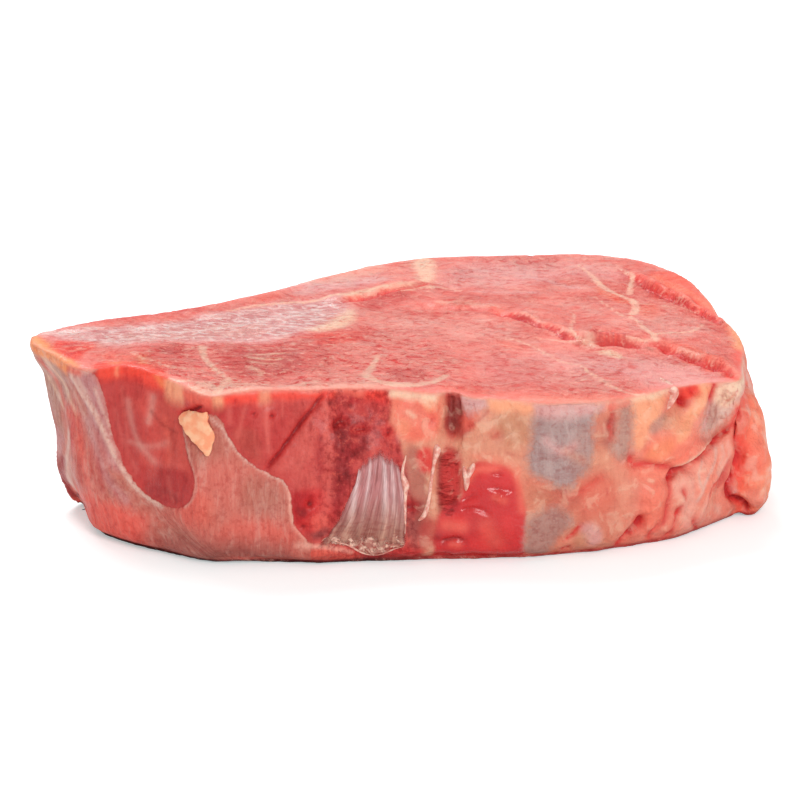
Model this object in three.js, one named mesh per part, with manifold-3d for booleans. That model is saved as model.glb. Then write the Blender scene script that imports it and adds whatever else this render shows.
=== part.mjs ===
// A thick raw chuck tender steak, lying on its lower cut face. It is one piece of meat: a slab between
// two nearly parallel cuts, pointed on the left and round on the right, with a membrane-covered bulge,
// creased fat and a hanging fold of fat round its side, and muscle edges that step up on its upper cut.
// Millimetres, +Z up, -Y towards the fat and silverskin side, origin under the middle of the footprint.
import * as THREE from "three";
import { mergeVertices } from "three/addons/utils/BufferGeometryUtils.js";
import Module from "manifold-3d";

// Driving dimensions
const LENGTH = 166;
const DEPTH = 121;
const THICKNESS = 37.2; // between the cuts, above the origin
const TILT = 0.038; // thickness lost for each millimetre to the right
const TWIST = 0.00025; // thickness gained for each square millimetre of x times y

// Roundings of the knife-cut rim and of the foot that the steak sags onto
const RIM_ROUND = 0.9;
const FOOT_ROUND = 2.4;
const BELLY = 0.9; // how far the side swells at half height
const SPREAD_EASE = 1.7; // how soon below the rim the side reaches a foot that stands out
const TUCK_EASE = 4; // and how soon it reaches one that is tucked in
const UNDERCUT = 0.8; // how much further a tucked side draws in at its foot, as a share of its tuck
const UNDERCUT_START = 0.62; // share of the way down from the rim at which it starts to

// Mesh density
const SECTORS = 150;
const FRONT_DENSITY = 1.9; // how much closer the sectors stand along the front than along the back
const WALL_LEVELS = 14;
const CAP_RINGS = 15;
const CAP_MIDDLE = [-5, -7]; // where the rings of the upper cut close
const BASE_RINGS = 3;

// The rim of the upper cut, anticlockwise from the right-hand corner. Each station is
// [x as a share of half the length, y as a share of half the depth,
//  height of the rim in mm, how far the foot stands out beyond the rim in mm].
const RIM_STATIONS = [
  [0.892, -0.507, 33.5, 0],
  [0.911, -0.342, 34.0, 0.5],
  [0.926, -0.160, 34.9, 2],
  [0.914, 0.013, 35.3, 5],
  [0.880, 0.162, 35.4, 5],
  [0.865, 0.327, 35.9, 3],
  [0.846, 0.476, 36.3, 1.5],
  [0.814, 0.633, 36.8, 0.5],
  [0.754, 0.774, 37, 0],
  [0.682, 0.889, 37.1, 0],
  [0.543, 0.972, 37, 0],
  [0.314, 0.952, 37, 1],
  [0.086, 0.922, 37, 2],
  [-0.095, 0.767, 37.7, 2],
  [-0.252, 0.534, 38.5, 2],
  [-0.408, 0.261, 39.5, 2],
  [-0.637, 0.013, 40.1, 0],
  [-0.854, -0.136, 40.2, -4],
  [-1.010, -0.322, 39.8, -5.8],
  [-0.940, -0.491, 39.2, -5],
  [-0.836, -0.653, 38.7, -1],
  [-0.734, -0.711, 41, 3],
  [-0.613, -0.813, 39.6, 3.5],
  [-0.499, -0.942, 38.2, 1],
  [-0.414, -0.926, 39, 1.5],
  [-0.246, -0.879, 38.5, 6],
  [-0.101, -0.823, 37.8, 8.5],
  [0.061, -0.803, 36.8, 8.5],
  [0.230, -0.843, 35.8, 5.5],
  [0.399, -0.853, 34.8, 2.5],
  [0.555, -0.777, 34.4, 3.5],
  [0.676, -0.664, 34.1, 5.5],
  [0.790, -0.562, 33.8, 3.5],
];

// Muscle edges that stand up on the upper cut: [x, y] along the edge, with the raised side on its left
const LEDGES = [
  { path: [[10.6, 14.3], [23.6, 9.8], [34.6, -3.2], [42.6, -12.2]], rise: 1.8, reach: 16 },
  { path: [[42.6, -11.7], [55.6, -10.2], [62.6, -20.2], [69.6, -27.7]], rise: 2.6, reach: 20 },
  { path: [[54.6, 42.8], [58.6, 33.8], [66.6, 21.3], [73.6, 9.8]], rise: 2.4, reach: 12 },
  { path: [[-14.4, 13.8], [-5.4, 20.8], [5.6, 29.8]], rise: 1.2, reach: 14 },
];
const LEDGE_WIDTH = 4.2; // over which a ledge rises
const LEDGE_FADE = 5; // how quickly a ledge runs out past its ends

// Clefts and creases of the front side: [x, z] along the crease, half its width, and its depth
const CREASES = [
  { path: [[10.3, 38], [9.9, 28]], width: 2.4, depth: 3.2 }, // the notch between fat and tendon
  { path: [[-17, 37], [-23.2, 29.5], [-29.2, 21]], width: 2.4, depth: 0.7 },
  { path: [[49.6, 20.5], [52.6, 17.8], [60.6, 15.2], [66.6, 18], [70.1, 23]], width: 2.2, depth: 1.7 },
  { path: [[71.1, 27], [70.6, 15.7], [70.1, 8.5], [72.6, 1]], width: 2.6, depth: 2.4 },
  { path: [[62.6, 14], [58.1, 7], [55.1, 2]], width: 2.2, depth: 1.3 },
  { path: [[51.6, 6], [47.1, 0]], width: 2.2, depth: 1.3 },
  { path: [[58.1, 33], [60.1, 28]], width: 2.2, depth: 1.6 },
];

// Swellings of the front side: middle [x, z], half-sizes [x, z] and how far they stand out
const SWELLINGS = [
  { at: [-43.4, 10], size: [20, 11], rise: 1.6 }, // the bulge under the membrane
  { at: [-74.4, 26], size: [3.5, 16], rise: 1.0 }, // the fold that runs down from the tip
  { at: [-64.4, 19], size: [3.5, 13], rise: 0.9 }, // the fold beside the bare muscle
  { at: [-55.4, 22], size: [5, 9], rise: -0.8 }, // the bare muscle between the membranes
  { at: [15.6, 11], size: [10, 9], rise: 1.1 }, // the red swelling beside the tendons
  { at: [57.6, 25], size: [8, 6], rise: 1.3 }, // the upper block of fat
  { at: [62.6, 10], size: [5, 8], rise: 1.4 }, // the folds of fat under it
  { at: [52.6, 12], size: [4, 7], rise: 0.9 },
];

// The fold of fat that hangs beside the right-hand corner
const HANGING_FOLD = { at: [76.3, -21, 13.2], size: [6, 8.4, 15.6], lean: [-0.1, 0.2] };
const FOLD_SEGMENTS = [22, 14];
const FOLD_FOOT = 2.2; // height below which the fold rounds in to the table

// A share that rises smoothly from 0 to 1 as value goes from low to high
function smooth(value, low, high) {
  return THREE.MathUtils.smoothstep(value, low, high);
}

// Slow unevenness, within about -1 and 1, with a wavelength of some 20 mm
function unevenness(x, y, z) {
  const warp = 1.7 * Math.sin(0.11 * x + 0.07 * y);
  const along = Math.sin(0.29 * x + 0.13 * z + warp);
  const across = Math.sin(0.24 * y - 0.19 * z + 1.3 * Math.sin(0.16 * x) + 2.1);
  return 0.6 * along + 0.4 * across;
}

// Nearest place on a path: how far off the point is, with a plus on the path's left, and how far
// beyond the path's ends it lies
function nearestOn(path, u, v) {
  let best = { off: Infinity, beyond: 0 };
  for (let i = 0; i + 1 < path.length; i += 1) {
    const [u0, v0] = path[i];
    const [du, dv] = [path[i + 1][0] - u0, path[i + 1][1] - v0];
    const share = ((u - u0) * du + (v - v0) * dv) / (du * du + dv * dv);
    const held = THREE.MathUtils.clamp(share, 0, 1);
    const distance = Math.hypot(u - u0 - held * du, v - v0 - held * dv);
    if (distance < Math.abs(best.off)) {
      const left = du * (v - v0) - dv * (u - u0) > 0;
      const atEnd = (i === 0 && share < 0) || (i + 2 === path.length && share > 1);
      best = { off: left ? distance : -distance, beyond: atEnd ? distance : 0 };
    }
  }
  return best;
}

// Height of the upper cut, with its raised muscle edges
function cutHeight(x, y) {
  let height = THICKNESS - TILT * x + TWIST * x * y + 0.35 * unevenness(x, y, 0);
  for (const { path, rise, reach } of LEDGES) {
    const { off, beyond } = nearestOn(path, x, y);
    const step = smooth(off, -LEDGE_WIDTH / 2, LEDGE_WIDTH / 2);
    height += rise * step * Math.exp(-Math.max(off, 0) / reach - beyond / LEDGE_FADE);
  }
  return height;
}

// How far the front side stands out at [x, z], from its swellings and creases
function frontRelief(x, z) {
  let out = 0;
  for (const { at, size, rise } of SWELLINGS) {
    const reach = Math.hypot((x - at[0]) / size[0], (z - at[1]) / size[1]);
    out += rise * Math.exp(-reach * reach);
  }
  for (const { path, width, depth } of CREASES) {
    out -= depth * Math.exp(-((nearestOn(path, x, z).off / width) ** 2));
  }
  return out;
}

// The rim as a curve through the stations, and the flare that goes with it
const rimCurve = new THREE.CatmullRomCurve3(
  RIM_STATIONS.map(([x, y, z]) => new THREE.Vector3((x * LENGTH) / 2, (y * DEPTH) / 2, z)),
  true,
  "centripetal",
);
const flareCurve = new THREE.CatmullRomCurve3(
  RIM_STATIONS.map(([, , , flare]) => new THREE.Vector3(flare, 0, 0)),
  true,
  "catmullrom",
);

// Arc-length shares of the sectors round the rim, closer together where the side faces the front
function sectorShares() {
  const steps = 1200;
  const weights = [0];
  for (let i = 0; i < steps; i += 1) {
    const tangent = rimCurve.getTangentAt((i + 0.5) / steps);
    const facesFront = smooth(tangent.x / Math.hypot(tangent.x, tangent.y), -0.6, 0.6);
    weights.push(weights[i] + 1 + (FRONT_DENSITY - 1) * facesFront);
  }
  const shares = [];
  let i = 0;
  for (let sector = 0; sector < SECTORS; sector += 1) {
    const wanted = (weights[steps] * sector) / SECTORS;
    while (weights[i + 1] < wanted) i += 1;
    shares.push((i + (wanted - weights[i]) / (weights[i + 1] - weights[i])) / steps);
  }
  return shares;
}

// One sector of the rim: its point, its outward direction and its flare
function sectorAt(share) {
  const { x, y, z } = rimCurve.getPointAt(share);
  const tangent = rimCurve.getTangentAt(share);
  const outward = new THREE.Vector2(tangent.y, -tangent.x).normalize();
  const flare = flareCurve.getPoint(rimCurve.getUtoTmapping(share)).x;
  return { x, y, z, outward, flare };
}

// A point of the side at height z, pushed out from the rim by flare, belly, folds and creases
function sidePoint({ x, y, z: top, outward, flare }, z, inset) {
  const drop = 1 - z / top;
  let spread = flare * (1 - (1 - drop) ** (flare < 0 ? TUCK_EASE : SPREAD_EASE));
  spread += Math.min(flare, 0) * UNDERCUT * smooth(drop, UNDERCUT_START, 1) ** 2;
  const offEdges = smooth(drop, 0, 0.06) * smooth(z, 0, 2.5);
  const facesFront = smooth(-outward.y, -0.1, 0.45);
  let out = spread + BELLY * Math.sin(Math.PI * drop) - inset;
  out += facesFront * Math.max(offEdges, 0.25) * frontRelief(x + spread * outward.x, z);
  out += 0.7 * offEdges * unevenness(x, y, 1.4 * z);
  return [x + out * outward.x, y + out * outward.y, z];
}

// A point of the upper cut, a share of the way from its middle to the rim
function cutPoint({ x, y, z, outward }, share) {
  const inset = RIM_ROUND * share;
  const across = CAP_MIDDLE[0] + share * (x - inset * outward.x - CAP_MIDDLE[0]);
  const back = CAP_MIDDLE[1] + share * (y - inset * outward.y - CAP_MIDDLE[1]);
  const lift = z - cutHeight(x, y);
  return [across, back, cutHeight(across, back) + lift * share ** 6];
}

// A quarter turn in steps: how far each step has gone over and how far down, both up to 1
function quarterTurn(steps) {
  return Array.from({ length: steps }, (_, i) => {
    const angle = ((i + 1) / steps) * (Math.PI / 2);
    return [Math.sin(angle), 1 - Math.cos(angle)];
  });
}

// The rings of points from the middle of the upper cut, over the rim, down the side and under the foot
function slabRings() {
  const sectors = sectorShares().map(sectorAt);
  const rings = [];
  for (let i = 1; i <= CAP_RINGS; i += 1) {
    rings.push(sectors.map((sector) => cutPoint(sector, 1 - (1 - i / CAP_RINGS) ** 1.15)));
  }
  for (const [over, down] of quarterTurn(2)) {
    rings.push(sectors.map((s) => sidePoint(s, s.z - RIM_ROUND * down, RIM_ROUND * (1 - over))));
  }
  for (let level = 1; level <= WALL_LEVELS; level += 1) {
    const share = level / WALL_LEVELS;
    const heightOf = ({ z }) => THREE.MathUtils.lerp(z - RIM_ROUND, FOOT_ROUND, share);
    rings.push(sectors.map((s) => sidePoint(s, heightOf(s), 0)));
  }
  for (const [down, under] of quarterTurn(3)) {
    rings.push(sectors.map((s) => sidePoint(s, FOOT_ROUND * (1 - down), FOOT_ROUND * under)));
  }
  const foot = rings[rings.length - 1];
  for (let i = 1; i < BASE_RINGS; i += 1) {
    const share = 1 - i / BASE_RINGS;
    rings.push(foot.map(([x, y]) => [x * share, y * share, 0]));
  }
  return rings;
}

// A closed surface through rings of equal length, with a point closing each end
function closedThrough(rings, first, last) {
  const positions = [...first, ...rings.flat(2), ...last];
  const count = rings[0].length;
  const lastIndex = positions.length / 3 - 1;
  const at = (ring, sector) => 1 + ring * count + (sector % count);
  const index = [];
  for (let s = 0; s < count; s += 1) {
    index.push(0, at(0, s), at(0, s + 1));
    for (let r = 0; r + 1 < rings.length; r += 1) {
      index.push(at(r, s), at(r + 1, s), at(r + 1, s + 1));
      index.push(at(r, s), at(r + 1, s + 1), at(r, s + 1));
    }
    index.push(at(rings.length - 1, s), lastIndex, at(rings.length - 1, s + 1));
  }
  const geometry = new THREE.BufferGeometry();
  geometry.setAttribute("position", new THREE.Float32BufferAttribute(positions, 3));
  geometry.setIndex(index);
  return geometry;
}

// The slab of muscle, fat and membrane between the two cuts
function slabGeometry() {
  return closedThrough(slabRings(), [...CAP_MIDDLE, cutHeight(...CAP_MIDDLE)], [0, 0, 0]);
}

// The hanging fold: an egg of fat, lumpy on its face and flat where it meets the table, which leans
// to the left and to the back as it goes up
function hangingFoldGeometry() {
  const { at, size, lean } = HANGING_FOLD;
  const geometry = new THREE.SphereGeometry(1, ...FOLD_SEGMENTS);
  geometry.rotateX(Math.PI / 2);
  const place = geometry.getAttribute("position");
  for (let i = 0; i < place.count; i += 1) {
    const [x, y, z] = [place.getX(i), place.getY(i), place.getZ(i)];
    const swell = 1 + 0.07 * Math.sin(7 * z + 2 * x) * (1 - z * z);
    const height = Math.max(at[2] + size[2] * z, 0);
    const full = swell * (1 - 0.2 * (1 - smooth(height, 0, FOLD_FOOT)));
    const across = size[0] * x * full + lean[0] * (height - at[2]);
    const back = size[1] * y * full + lean[1] * (height - at[2]);
    place.setXYZ(i, at[0] + across, at[1] + back, height);
  }
  return geometry;
}

const wasm = await Module();
wasm.setup();

// A closed geometry as a solid that can be joined to another
function solidFrom(geometry) {
  const bare = geometry.clone();
  bare.deleteAttribute("normal");
  bare.deleteAttribute("uv");
  const merged = mergeVertices(bare, 1e-4);
  return new wasm.Manifold(
    new wasm.Mesh({
      numProp: 3,
      vertProperties: merged.getAttribute("position").array,
      triVerts: new Uint32Array(merged.index.array),
    }),
  );
}

// A solid as a geometry, moved so that the middle of its footprint's box is at the origin
function geometryFrom(solid) {
  const mesh = solid.getMesh();
  const geometry = new THREE.BufferGeometry();
  geometry.setAttribute("position", new THREE.BufferAttribute(mesh.vertProperties, 3));
  geometry.setIndex(new THREE.BufferAttribute(mesh.triVerts, 1));
  geometry.computeBoundingBox();
  const { min, max } = geometry.boundingBox;
  geometry.translate(-(min.x + max.x) / 2, -(min.y + max.y) / 2, -min.z);
  geometry.computeVertexNormals();
  return geometry;
}

const rawMeat = new THREE.MeshStandardMaterial({ color: 0xc4605a, roughness: 0.42, metalness: 0 });
const steak = new THREE.Mesh(
  geometryFrom(solidFrom(slabGeometry()).add(solidFrom(hangingFoldGeometry()))),
  rawMeat,
);
steak.name = "steak";

const group = new THREE.Group();
group.add(steak);
export default group;
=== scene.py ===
# %% [markdown]
# A raw chuck tender steak
#
# This lesson dresses one thick raw steak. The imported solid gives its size, its outline and its big
# forms. Here a working copy of that solid gets the fine relief, the colours and the wet finish of
# muscle, fat, membrane and silverskin, and a few loose bits of tissue are modelled on it. Lengths in the
# tables are millimetres, because that is how meat is cut and measured, and they become metres only where
# Blender needs them.

# %% Frame
import itertools
import math

import bpy
import numpy as np
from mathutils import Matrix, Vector
from mathutils.bvhtree import BVHTree
from mathutils.kdtree import KDTree


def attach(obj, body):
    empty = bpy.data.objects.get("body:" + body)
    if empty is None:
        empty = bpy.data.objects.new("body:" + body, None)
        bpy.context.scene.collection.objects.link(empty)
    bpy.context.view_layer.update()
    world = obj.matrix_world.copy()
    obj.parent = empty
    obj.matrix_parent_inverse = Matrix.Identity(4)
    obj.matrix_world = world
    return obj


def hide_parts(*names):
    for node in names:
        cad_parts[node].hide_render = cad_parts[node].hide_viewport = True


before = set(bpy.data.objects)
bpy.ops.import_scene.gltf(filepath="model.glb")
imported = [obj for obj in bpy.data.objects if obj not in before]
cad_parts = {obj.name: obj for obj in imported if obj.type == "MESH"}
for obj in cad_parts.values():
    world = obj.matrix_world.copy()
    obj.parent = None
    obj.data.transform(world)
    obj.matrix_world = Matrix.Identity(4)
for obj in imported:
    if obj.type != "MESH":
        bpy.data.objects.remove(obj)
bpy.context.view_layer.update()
MM = 0.001

# %% [markdown]
# Colours are easiest to choose as they look on a screen, from 0 to 255. Blender works with light, so
# each one is turned into linear values once, here. The palette is a butcher's: names for muscle, fat and
# membrane that the washes and touches below can call by name.


# %% Palette
def tint(red, green, blue):
    """A screen colour, 0 to 255 a channel, as linear light."""
    shares = [c / 255 for c in (red, green, blue)]
    return np.array([s / 12.92 if s <= 0.04045 else ((s + 0.055) / 1.055) ** 2.4 for s in shares])


def rgba(colour):
    """A linear colour as the four numbers that a socket takes."""
    return (*[float(c) for c in colour], 1.0)


PALETTE = {
    "rose": tint(242, 132, 120),
    "deep_rose": tint(222, 88, 80),
    "pale_rose": tint(246, 172, 160),
    "rose_red": tint(212, 78, 74),
    "lilac": tint(238, 180, 177),
    "haze": tint(236, 172, 168),
    "cream": tint(252, 212, 182),
    "cream_rose": tint(248, 182, 162),
    "peach": tint(255, 172, 132),
    "orange": tint(255, 156, 98),
    "salmon": tint(246, 112, 92),
    "ember": tint(252, 80, 62),
    "scarlet": tint(226, 50, 50),
    "blood": tint(186, 34, 40),
    "dark_blood": tint(116, 14, 20),
    # Painted shadow at the foot of the sides.
    "painted_foot_shadow": tint(66, 10, 14),
    "open_rose": tint(252, 142, 130),
    "torn_rose": tint(255, 150, 132),
    "muscle": tint(194, 60, 58),
    "muscle_dark": tint(166, 42, 46),
    "muscle_brown": tint(190, 80, 70),
    "muscle_pale": tint(222, 104, 94),
    "film_pink": tint(216, 116, 102),
    "film_red": tint(238, 102, 88),
    "film_brown": tint(182, 110, 94),
    "film_grey": tint(196, 148, 132),
    "film_lilac": tint(204, 142, 142),
    "film_white": tint(232, 190, 174),
    "silver": tint(178, 148, 143),
    "silver_low": tint(184, 130, 116),
    "silver_pink": tint(228, 172, 166),
    "straw": tint(228, 152, 124),
    "olive_fat": tint(206, 142, 110),
    "fat_orange": tint(216, 112, 92),
    "fat_pink": tint(244, 142, 122),
    "glow": tint(254, 136, 110),
    "plum": tint(134, 56, 54),
    "mottle": tint(172, 96, 86),
    # Painted reflection: white streaks of the sky in the wet sheath on the left, and darker gaps between
    # them.
    "painted_sheen_white": tint(255, 220, 214),
    "painted_sheen_gap": tint(214, 118, 118),
}
print("colours:", len(PALETTE))

# %% [markdown]
# The studio is a white table under a white sky, with one big soft light high at the back, which lays a
# pale sheen over the upper cut, and a weaker one in front, which keeps the side readable. A table that is
# really lit to pure white would throw too much light up at the meat. So the table shines a little more
# for the camera alone, and the meat sees only its ordinary white.

# %% Table and light
bpy.context.scene.view_settings.view_transform = "Standard"
world = bpy.data.worlds.new("studio")
bpy.context.scene.world = world
world.use_nodes = True
sky = world.node_tree.nodes["Background"]
sky.inputs["Color"].default_value = (1.0, 0.99, 0.98, 1.0)
sky.inputs["Strength"].default_value = 0.55

bpy.ops.mesh.primitive_plane_add(size=8.0, location=(0, 0, -0.00005))
table = bpy.context.active_object
table.name = "table"
table_finish = bpy.data.materials.new("table")
table_finish.use_nodes = True
table_shader = table_finish.node_tree.nodes["Principled BSDF"]
table_shader.inputs["Base Color"].default_value = (0.86, 0.86, 0.865, 1.0)
table_shader.inputs["Roughness"].default_value = 0.9
table_shader.inputs["Specular IOR Level"].default_value = 0.1
table_shader.inputs["Emission Color"].default_value = (0.9, 1.0, 1.0, 1.0)
CAMERA_GLOW = 0.36
light_path = table_finish.node_tree.nodes.new("ShaderNodeLightPath")
glow = table_finish.node_tree.nodes.new("ShaderNodeMath")
glow.operation = "MULTIPLY"
glow.inputs[1].default_value = CAMERA_GLOW
table_finish.node_tree.links.new(light_path.outputs["Is Camera Ray"], glow.inputs[0])
table_finish.node_tree.links.new(glow.outputs[0], table_shader.inputs["Emission Strength"])
table.data.materials.append(table_finish)


def soft_light(name, place, aim, size, power):
    """A square area light at place, turned to aim, all in metres."""
    bpy.ops.object.light_add(type="AREA", location=place)
    light = bpy.context.active_object
    light.name = name
    light.data.size = size
    light.data.energy = power
    light.rotation_euler = (Vector(aim) - Vector(place)).to_track_quat("-Z", "Y").to_euler()
    return light


soft_light("high_back", (-0.30, 0.70, 0.95), (0, 0, 0.02), 0.6, 10.2)
soft_light("front", (0.34, -0.95, 0.62), (0, 0, 0.02), 0.4, 5.6)

# %% [markdown]
# The camera looks along +Y from 18 degrees above the table. A long lens from 0.85 m keeps the slight
# perspective that makes the far rim look a little shorter than the near foot.

# %% Camera
ELEVATION = math.radians(18.0)
DISTANCE = 0.85
AIM = Vector((-0.45, 2.0, 18.0)) * MM
LENS_IN_WIDTHS = 3700 / 800
SENSOR = 36.0
bpy.ops.object.camera_add()
camera = bpy.context.active_object
camera.name = "camera"
back = Vector((0, -math.cos(ELEVATION), math.sin(ELEVATION)))
camera.location = AIM + back * DISTANCE
camera.rotation_euler = (-back).to_track_quat("-Z", "Y").to_euler()
camera.data.sensor_width = SENSOR
camera.data.lens = LENS_IN_WIDTHS * SENSOR
bpy.context.scene.camera = camera
print("lens, mm:", round(camera.data.lens, 1))

# %% [markdown]
# Muscle has no edges that could be modelled one by one, so the piece starts as a copy of the solid. Its
# loose triangles are merged, and a voxel remesh turns them into an even net of small squares. Sculpting
# by hand would start in the same way.

# %% Working copy
VOXEL = 1.0 * MM
bpy.ops.object.select_all(action="DESELECT")
steak = bpy.data.objects.new("raw_steak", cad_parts["steak"].data.copy())
bpy.context.scene.collection.objects.link(steak)
steak.data.materials.clear()
bpy.context.view_layer.objects.active = steak
steak.select_set(True)
bpy.ops.object.mode_set(mode="EDIT")
bpy.ops.mesh.select_all(action="SELECT")
bpy.ops.mesh.remove_doubles(threshold=0.01 * MM)
bpy.ops.object.mode_set(mode="OBJECT")


def apply_modifier(obj, kind, **settings):
    """Adds a modifier with these settings and applies it at once."""
    modifier = obj.modifiers.new(kind.lower(), kind)
    for name, value in settings.items():
        setattr(modifier, name, value)
    bpy.context.view_layer.objects.active = obj
    bpy.ops.object.modifier_apply(modifier=modifier.name)


apply_modifier(steak, "REMESH", mode="VOXEL", voxel_size=VOXEL)
print("squares after remesh:", len(steak.data.polygons))

# %% [markdown]
# Three small tools measure the mesh. They read all points at once into arrays, because a loop over a
# hundred thousand points would be slow.


# %% Mesh arrays
def points_mm(mesh):
    """The mesh's points, in millimetres, one row each."""
    flat = np.empty(len(mesh.vertices) * 3)
    mesh.vertices.foreach_get("co", flat)
    return flat.reshape(-1, 3) / MM


def normals_of(mesh):
    """The mesh's point normals, one row each."""
    flat = np.empty(len(mesh.vertices) * 3)
    mesh.vertices.foreach_get("normal", flat)
    return flat.reshape(-1, 3)


def place_points(mesh, places):
    """Moves the mesh's points to these places, in millimetres."""
    mesh.vertices.foreach_set("co", (places * MM).ravel())
    mesh.update()


def rise(value, low, high):
    """0 below low, 1 above high and a smooth rise between, for numbers or arrays."""
    share = np.clip((value - low) / (high - low), 0, 1)
    return share * share * (3 - 2 * share)


# %% [markdown]
# Most places on meat are best told by how far they are from a line: a seam of fat, a torn edge, the
# border of a membrane. These helpers give that distance for all points at once. A line's corners are cut
# twice, which turns a few chosen points into a soft curve.


# %% Lines and outlines
def softened(points, closed=False):
    """The same line with its corners cut twice."""
    line = np.array(points, float)
    for _ in range(2):
        ahead = np.roll(line, -1, axis=0) if closed else line[1:]
        here = line if closed else line[:-1]
        cut = np.stack([0.75 * here + 0.25 * ahead, 0.25 * here + 0.75 * ahead], axis=1).reshape(-1, 2)
        line = cut if closed else np.vstack([line[:1], cut[1:-1], line[-1:]])
    return line


def from_line(points, u, v, closed=False):
    """For each place (u, v): distance to the line, plus on its left, and the share along it."""
    line = softened(points, closed)
    if closed:
        line = np.vstack([line, line[:1]])
    lengths = np.hypot(*np.diff(line, axis=0).T)
    starts = np.concatenate([[0], np.cumsum(lengths)])
    best = np.full(len(u), np.inf)
    side = np.ones(len(u))
    share = np.zeros(len(u))
    for (u0, v0), (u1, v1), length, start in zip(line, line[1:], lengths, starts):
        du, dv = (u1 - u0) / length, (v1 - v0) / length
        reach = np.clip((u - u0) * du + (v - v0) * dv, 0, length)
        off = np.hypot(u - u0 - reach * du, v - v0 - reach * dv)
        nearer = off < best
        best = np.where(nearer, off, best)
        side = np.where(nearer, np.where(du * (v - v0) - dv * (u - u0) > 0, 1, -1), side)
        share = np.where(nearer, (start + reach) / starts[-1], share)
    return best * side, share


def inside(outline, u, v):
    """Distance to a closed outline in millimetres, plus inside it."""
    line = softened(outline, closed=True)
    odd = np.zeros(len(u), bool)
    for (u0, v0), (u1, v1) in zip(line, np.roll(line, -1, axis=0)):
        crosses = (v0 > v) != (v1 > v)
        height = v1 - v0 if abs(v1 - v0) > 1e-9 else 1e-9
        odd ^= crosses & (u < u0 + (u1 - u0) * (v - v0) / height)
    off, _ = from_line(outline, u, v, closed=True)
    return np.abs(off) * np.where(odd, 1, -1)


def close_to(points, u, v, margin):
    """The numbers of the places that lie within a margin of the points' box."""
    low, high = np.min(points, axis=0) - margin, np.max(points, axis=0) + margin
    return np.flatnonzero((u > low[0]) & (u < high[0]) & (v > low[1]) & (v < high[1]))


# %% [markdown]
# Two kinds of noise make the unevenness. Smooth noise swells and sinks slowly. Cell noise breaks the
# surface into rounded cells, as bundles of fibres and lobules of fat do. Both come from a fixed
# arithmetic of the place, so the steak is the same at every run. The last number of each call is its
# seed, which picks one pattern among many.


# %% Noise
def scattered(cells, seed):
    """An even random number from 0 to 1 for each whole-numbered cell."""
    mixed = cells[:, 0] * 73856093 ^ cells[:, 1] * 19349663 ^ cells[:, 2] * 83492791
    mixed = (mixed ^ (seed * 9781 + 12345)) & 0xFFFFFFFF
    mixed = ((mixed ^ (mixed >> 15)) * 0x2C1B3C6D) & 0xFFFFFFFF
    mixed = ((mixed ^ (mixed >> 12)) * 0x297A2D39) & 0xFFFFFFFF
    return ((mixed ^ (mixed >> 15)) & 0xFFFFFF) / 0xFFFFFF


def swell(places, size, seed):
    """Smooth noise from -1 to 1 whose bumps are about size millimetres apart."""
    grid = places / size
    cell = np.floor(grid).astype(np.int64)
    part = grid - cell
    part = part * part * (3 - 2 * part)
    total = np.zeros(len(places))
    for corner in itertools.product((0, 1), repeat=3):
        weight = np.prod(np.where(corner, part, 1 - part), axis=1)
        total += weight * scattered(cell + np.array(corner), seed)
    return 2 * total - 1


def lobes(places, size, seed):
    """Cell noise: distance to the nearest cell middle and to the border, as shares of size."""
    grid = places / size
    cell = np.floor(grid).astype(np.int64)
    nearest = np.full(len(places), 9.0)
    second = np.full(len(places), 9.0)
    for step in itertools.product((-1, 0, 1), repeat=3):
        other = cell + np.array(step)
        middle = other + np.stack([scattered(other, seed + k) for k in range(3)], axis=1)
        away = np.linalg.norm(grid - middle, axis=1)
        second = np.minimum(second, np.maximum(nearest, away))
        nearest = np.minimum(nearest, away)
    return nearest, second - nearest


print("noise sample:", round(float(swell(np.array([[3.0, 4.0, 5.0]]), 7.0, 1)[0]), 3))

# %% [markdown]
# The muscle edges on the upper cut are the steak's most telling lines. Where one muscle shrank more
# than its neighbour, the cut face steps up over a short torn wall. The solid has these steps as gentle
# ramps. They are listed here again, with the raised side on the line's left, to be made steep. Each also
# has the line along which the knife really left its foot, and tells where along it the wall is torn open
# and where the surface just runs over it. The solid was centred after its ramps were drawn, so they are
# moved by as much.

# %% Muscle edges
CENTRING = np.array([0.36, -0.04])
LEDGES = [
    # ramp in the solid, foot of the step as the knife left it, height of the step, reach of the raised
    # part behind it, and how far the step is torn open along its foot, from 0 to 1, at even distances
    ([(10.6, 14.3), (23.6, 9.8), (34.6, -3.2), (42.6, -12.2)],
     [(9, 13), (15, 11.4), (22, 9.6), (26.8, 3.6), (30, 0.8), (33, -2.3), (35.7, -6), (37.7, -9.5),
      (41.4, -12.6)],
     1.8, 16, [0.2, 0.4, 0.4, 0.9, 1, 1, 1, 0.4]),
    ([(42.6, -11.7), (55.6, -10.2), (62.6, -20.2), (69.6, -27.7)],
     [(42.6, -12.5), (48.8, -12.7), (53.3, -13.2), (57.4, -13.4), (59.8, -16), (62.8, -19), (64.8, -21),
      (67.3, -23.7), (69.8, -25.2), (72.7, -28.5)],
     2.2, 20, [0.3, 1, 0.9, 0.2, 0.6, 1, 1, 1, 0.9, 0.5]),
    ([(54.6, 42.8), (58.6, 33.8), (66.6, 21.3), (73.6, 9.8)],
     [(54.6, 40), (56.2, 34.8), (58.2, 29.4), (60.3, 26.2), (63, 23.2), (65.5, 19.4), (68.7, 16),
      (70.5, 11.3), (72.3, 5.7)],
     2.4, 12, [0.5, 0.9, 1, 1, 0.9, 1, 0.8]),
    ([(-14.4, 13.8), (-5.4, 20.8), (5.6, 29.8)], [(-14, 13.8), (-5, 20.8), (6, 29.8)],
     1.2, 14, [0.4, 0.9, 0.7, 0.4]),
]
LEDGES = [(np.array(ramp) + CENTRING, *rest) for ramp, *rest in LEDGES]
RAMP = 4.2  # width of the ramps in the solid
LEDGE_FADE = 5.0  # how soon a step runs out past its ends


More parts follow.
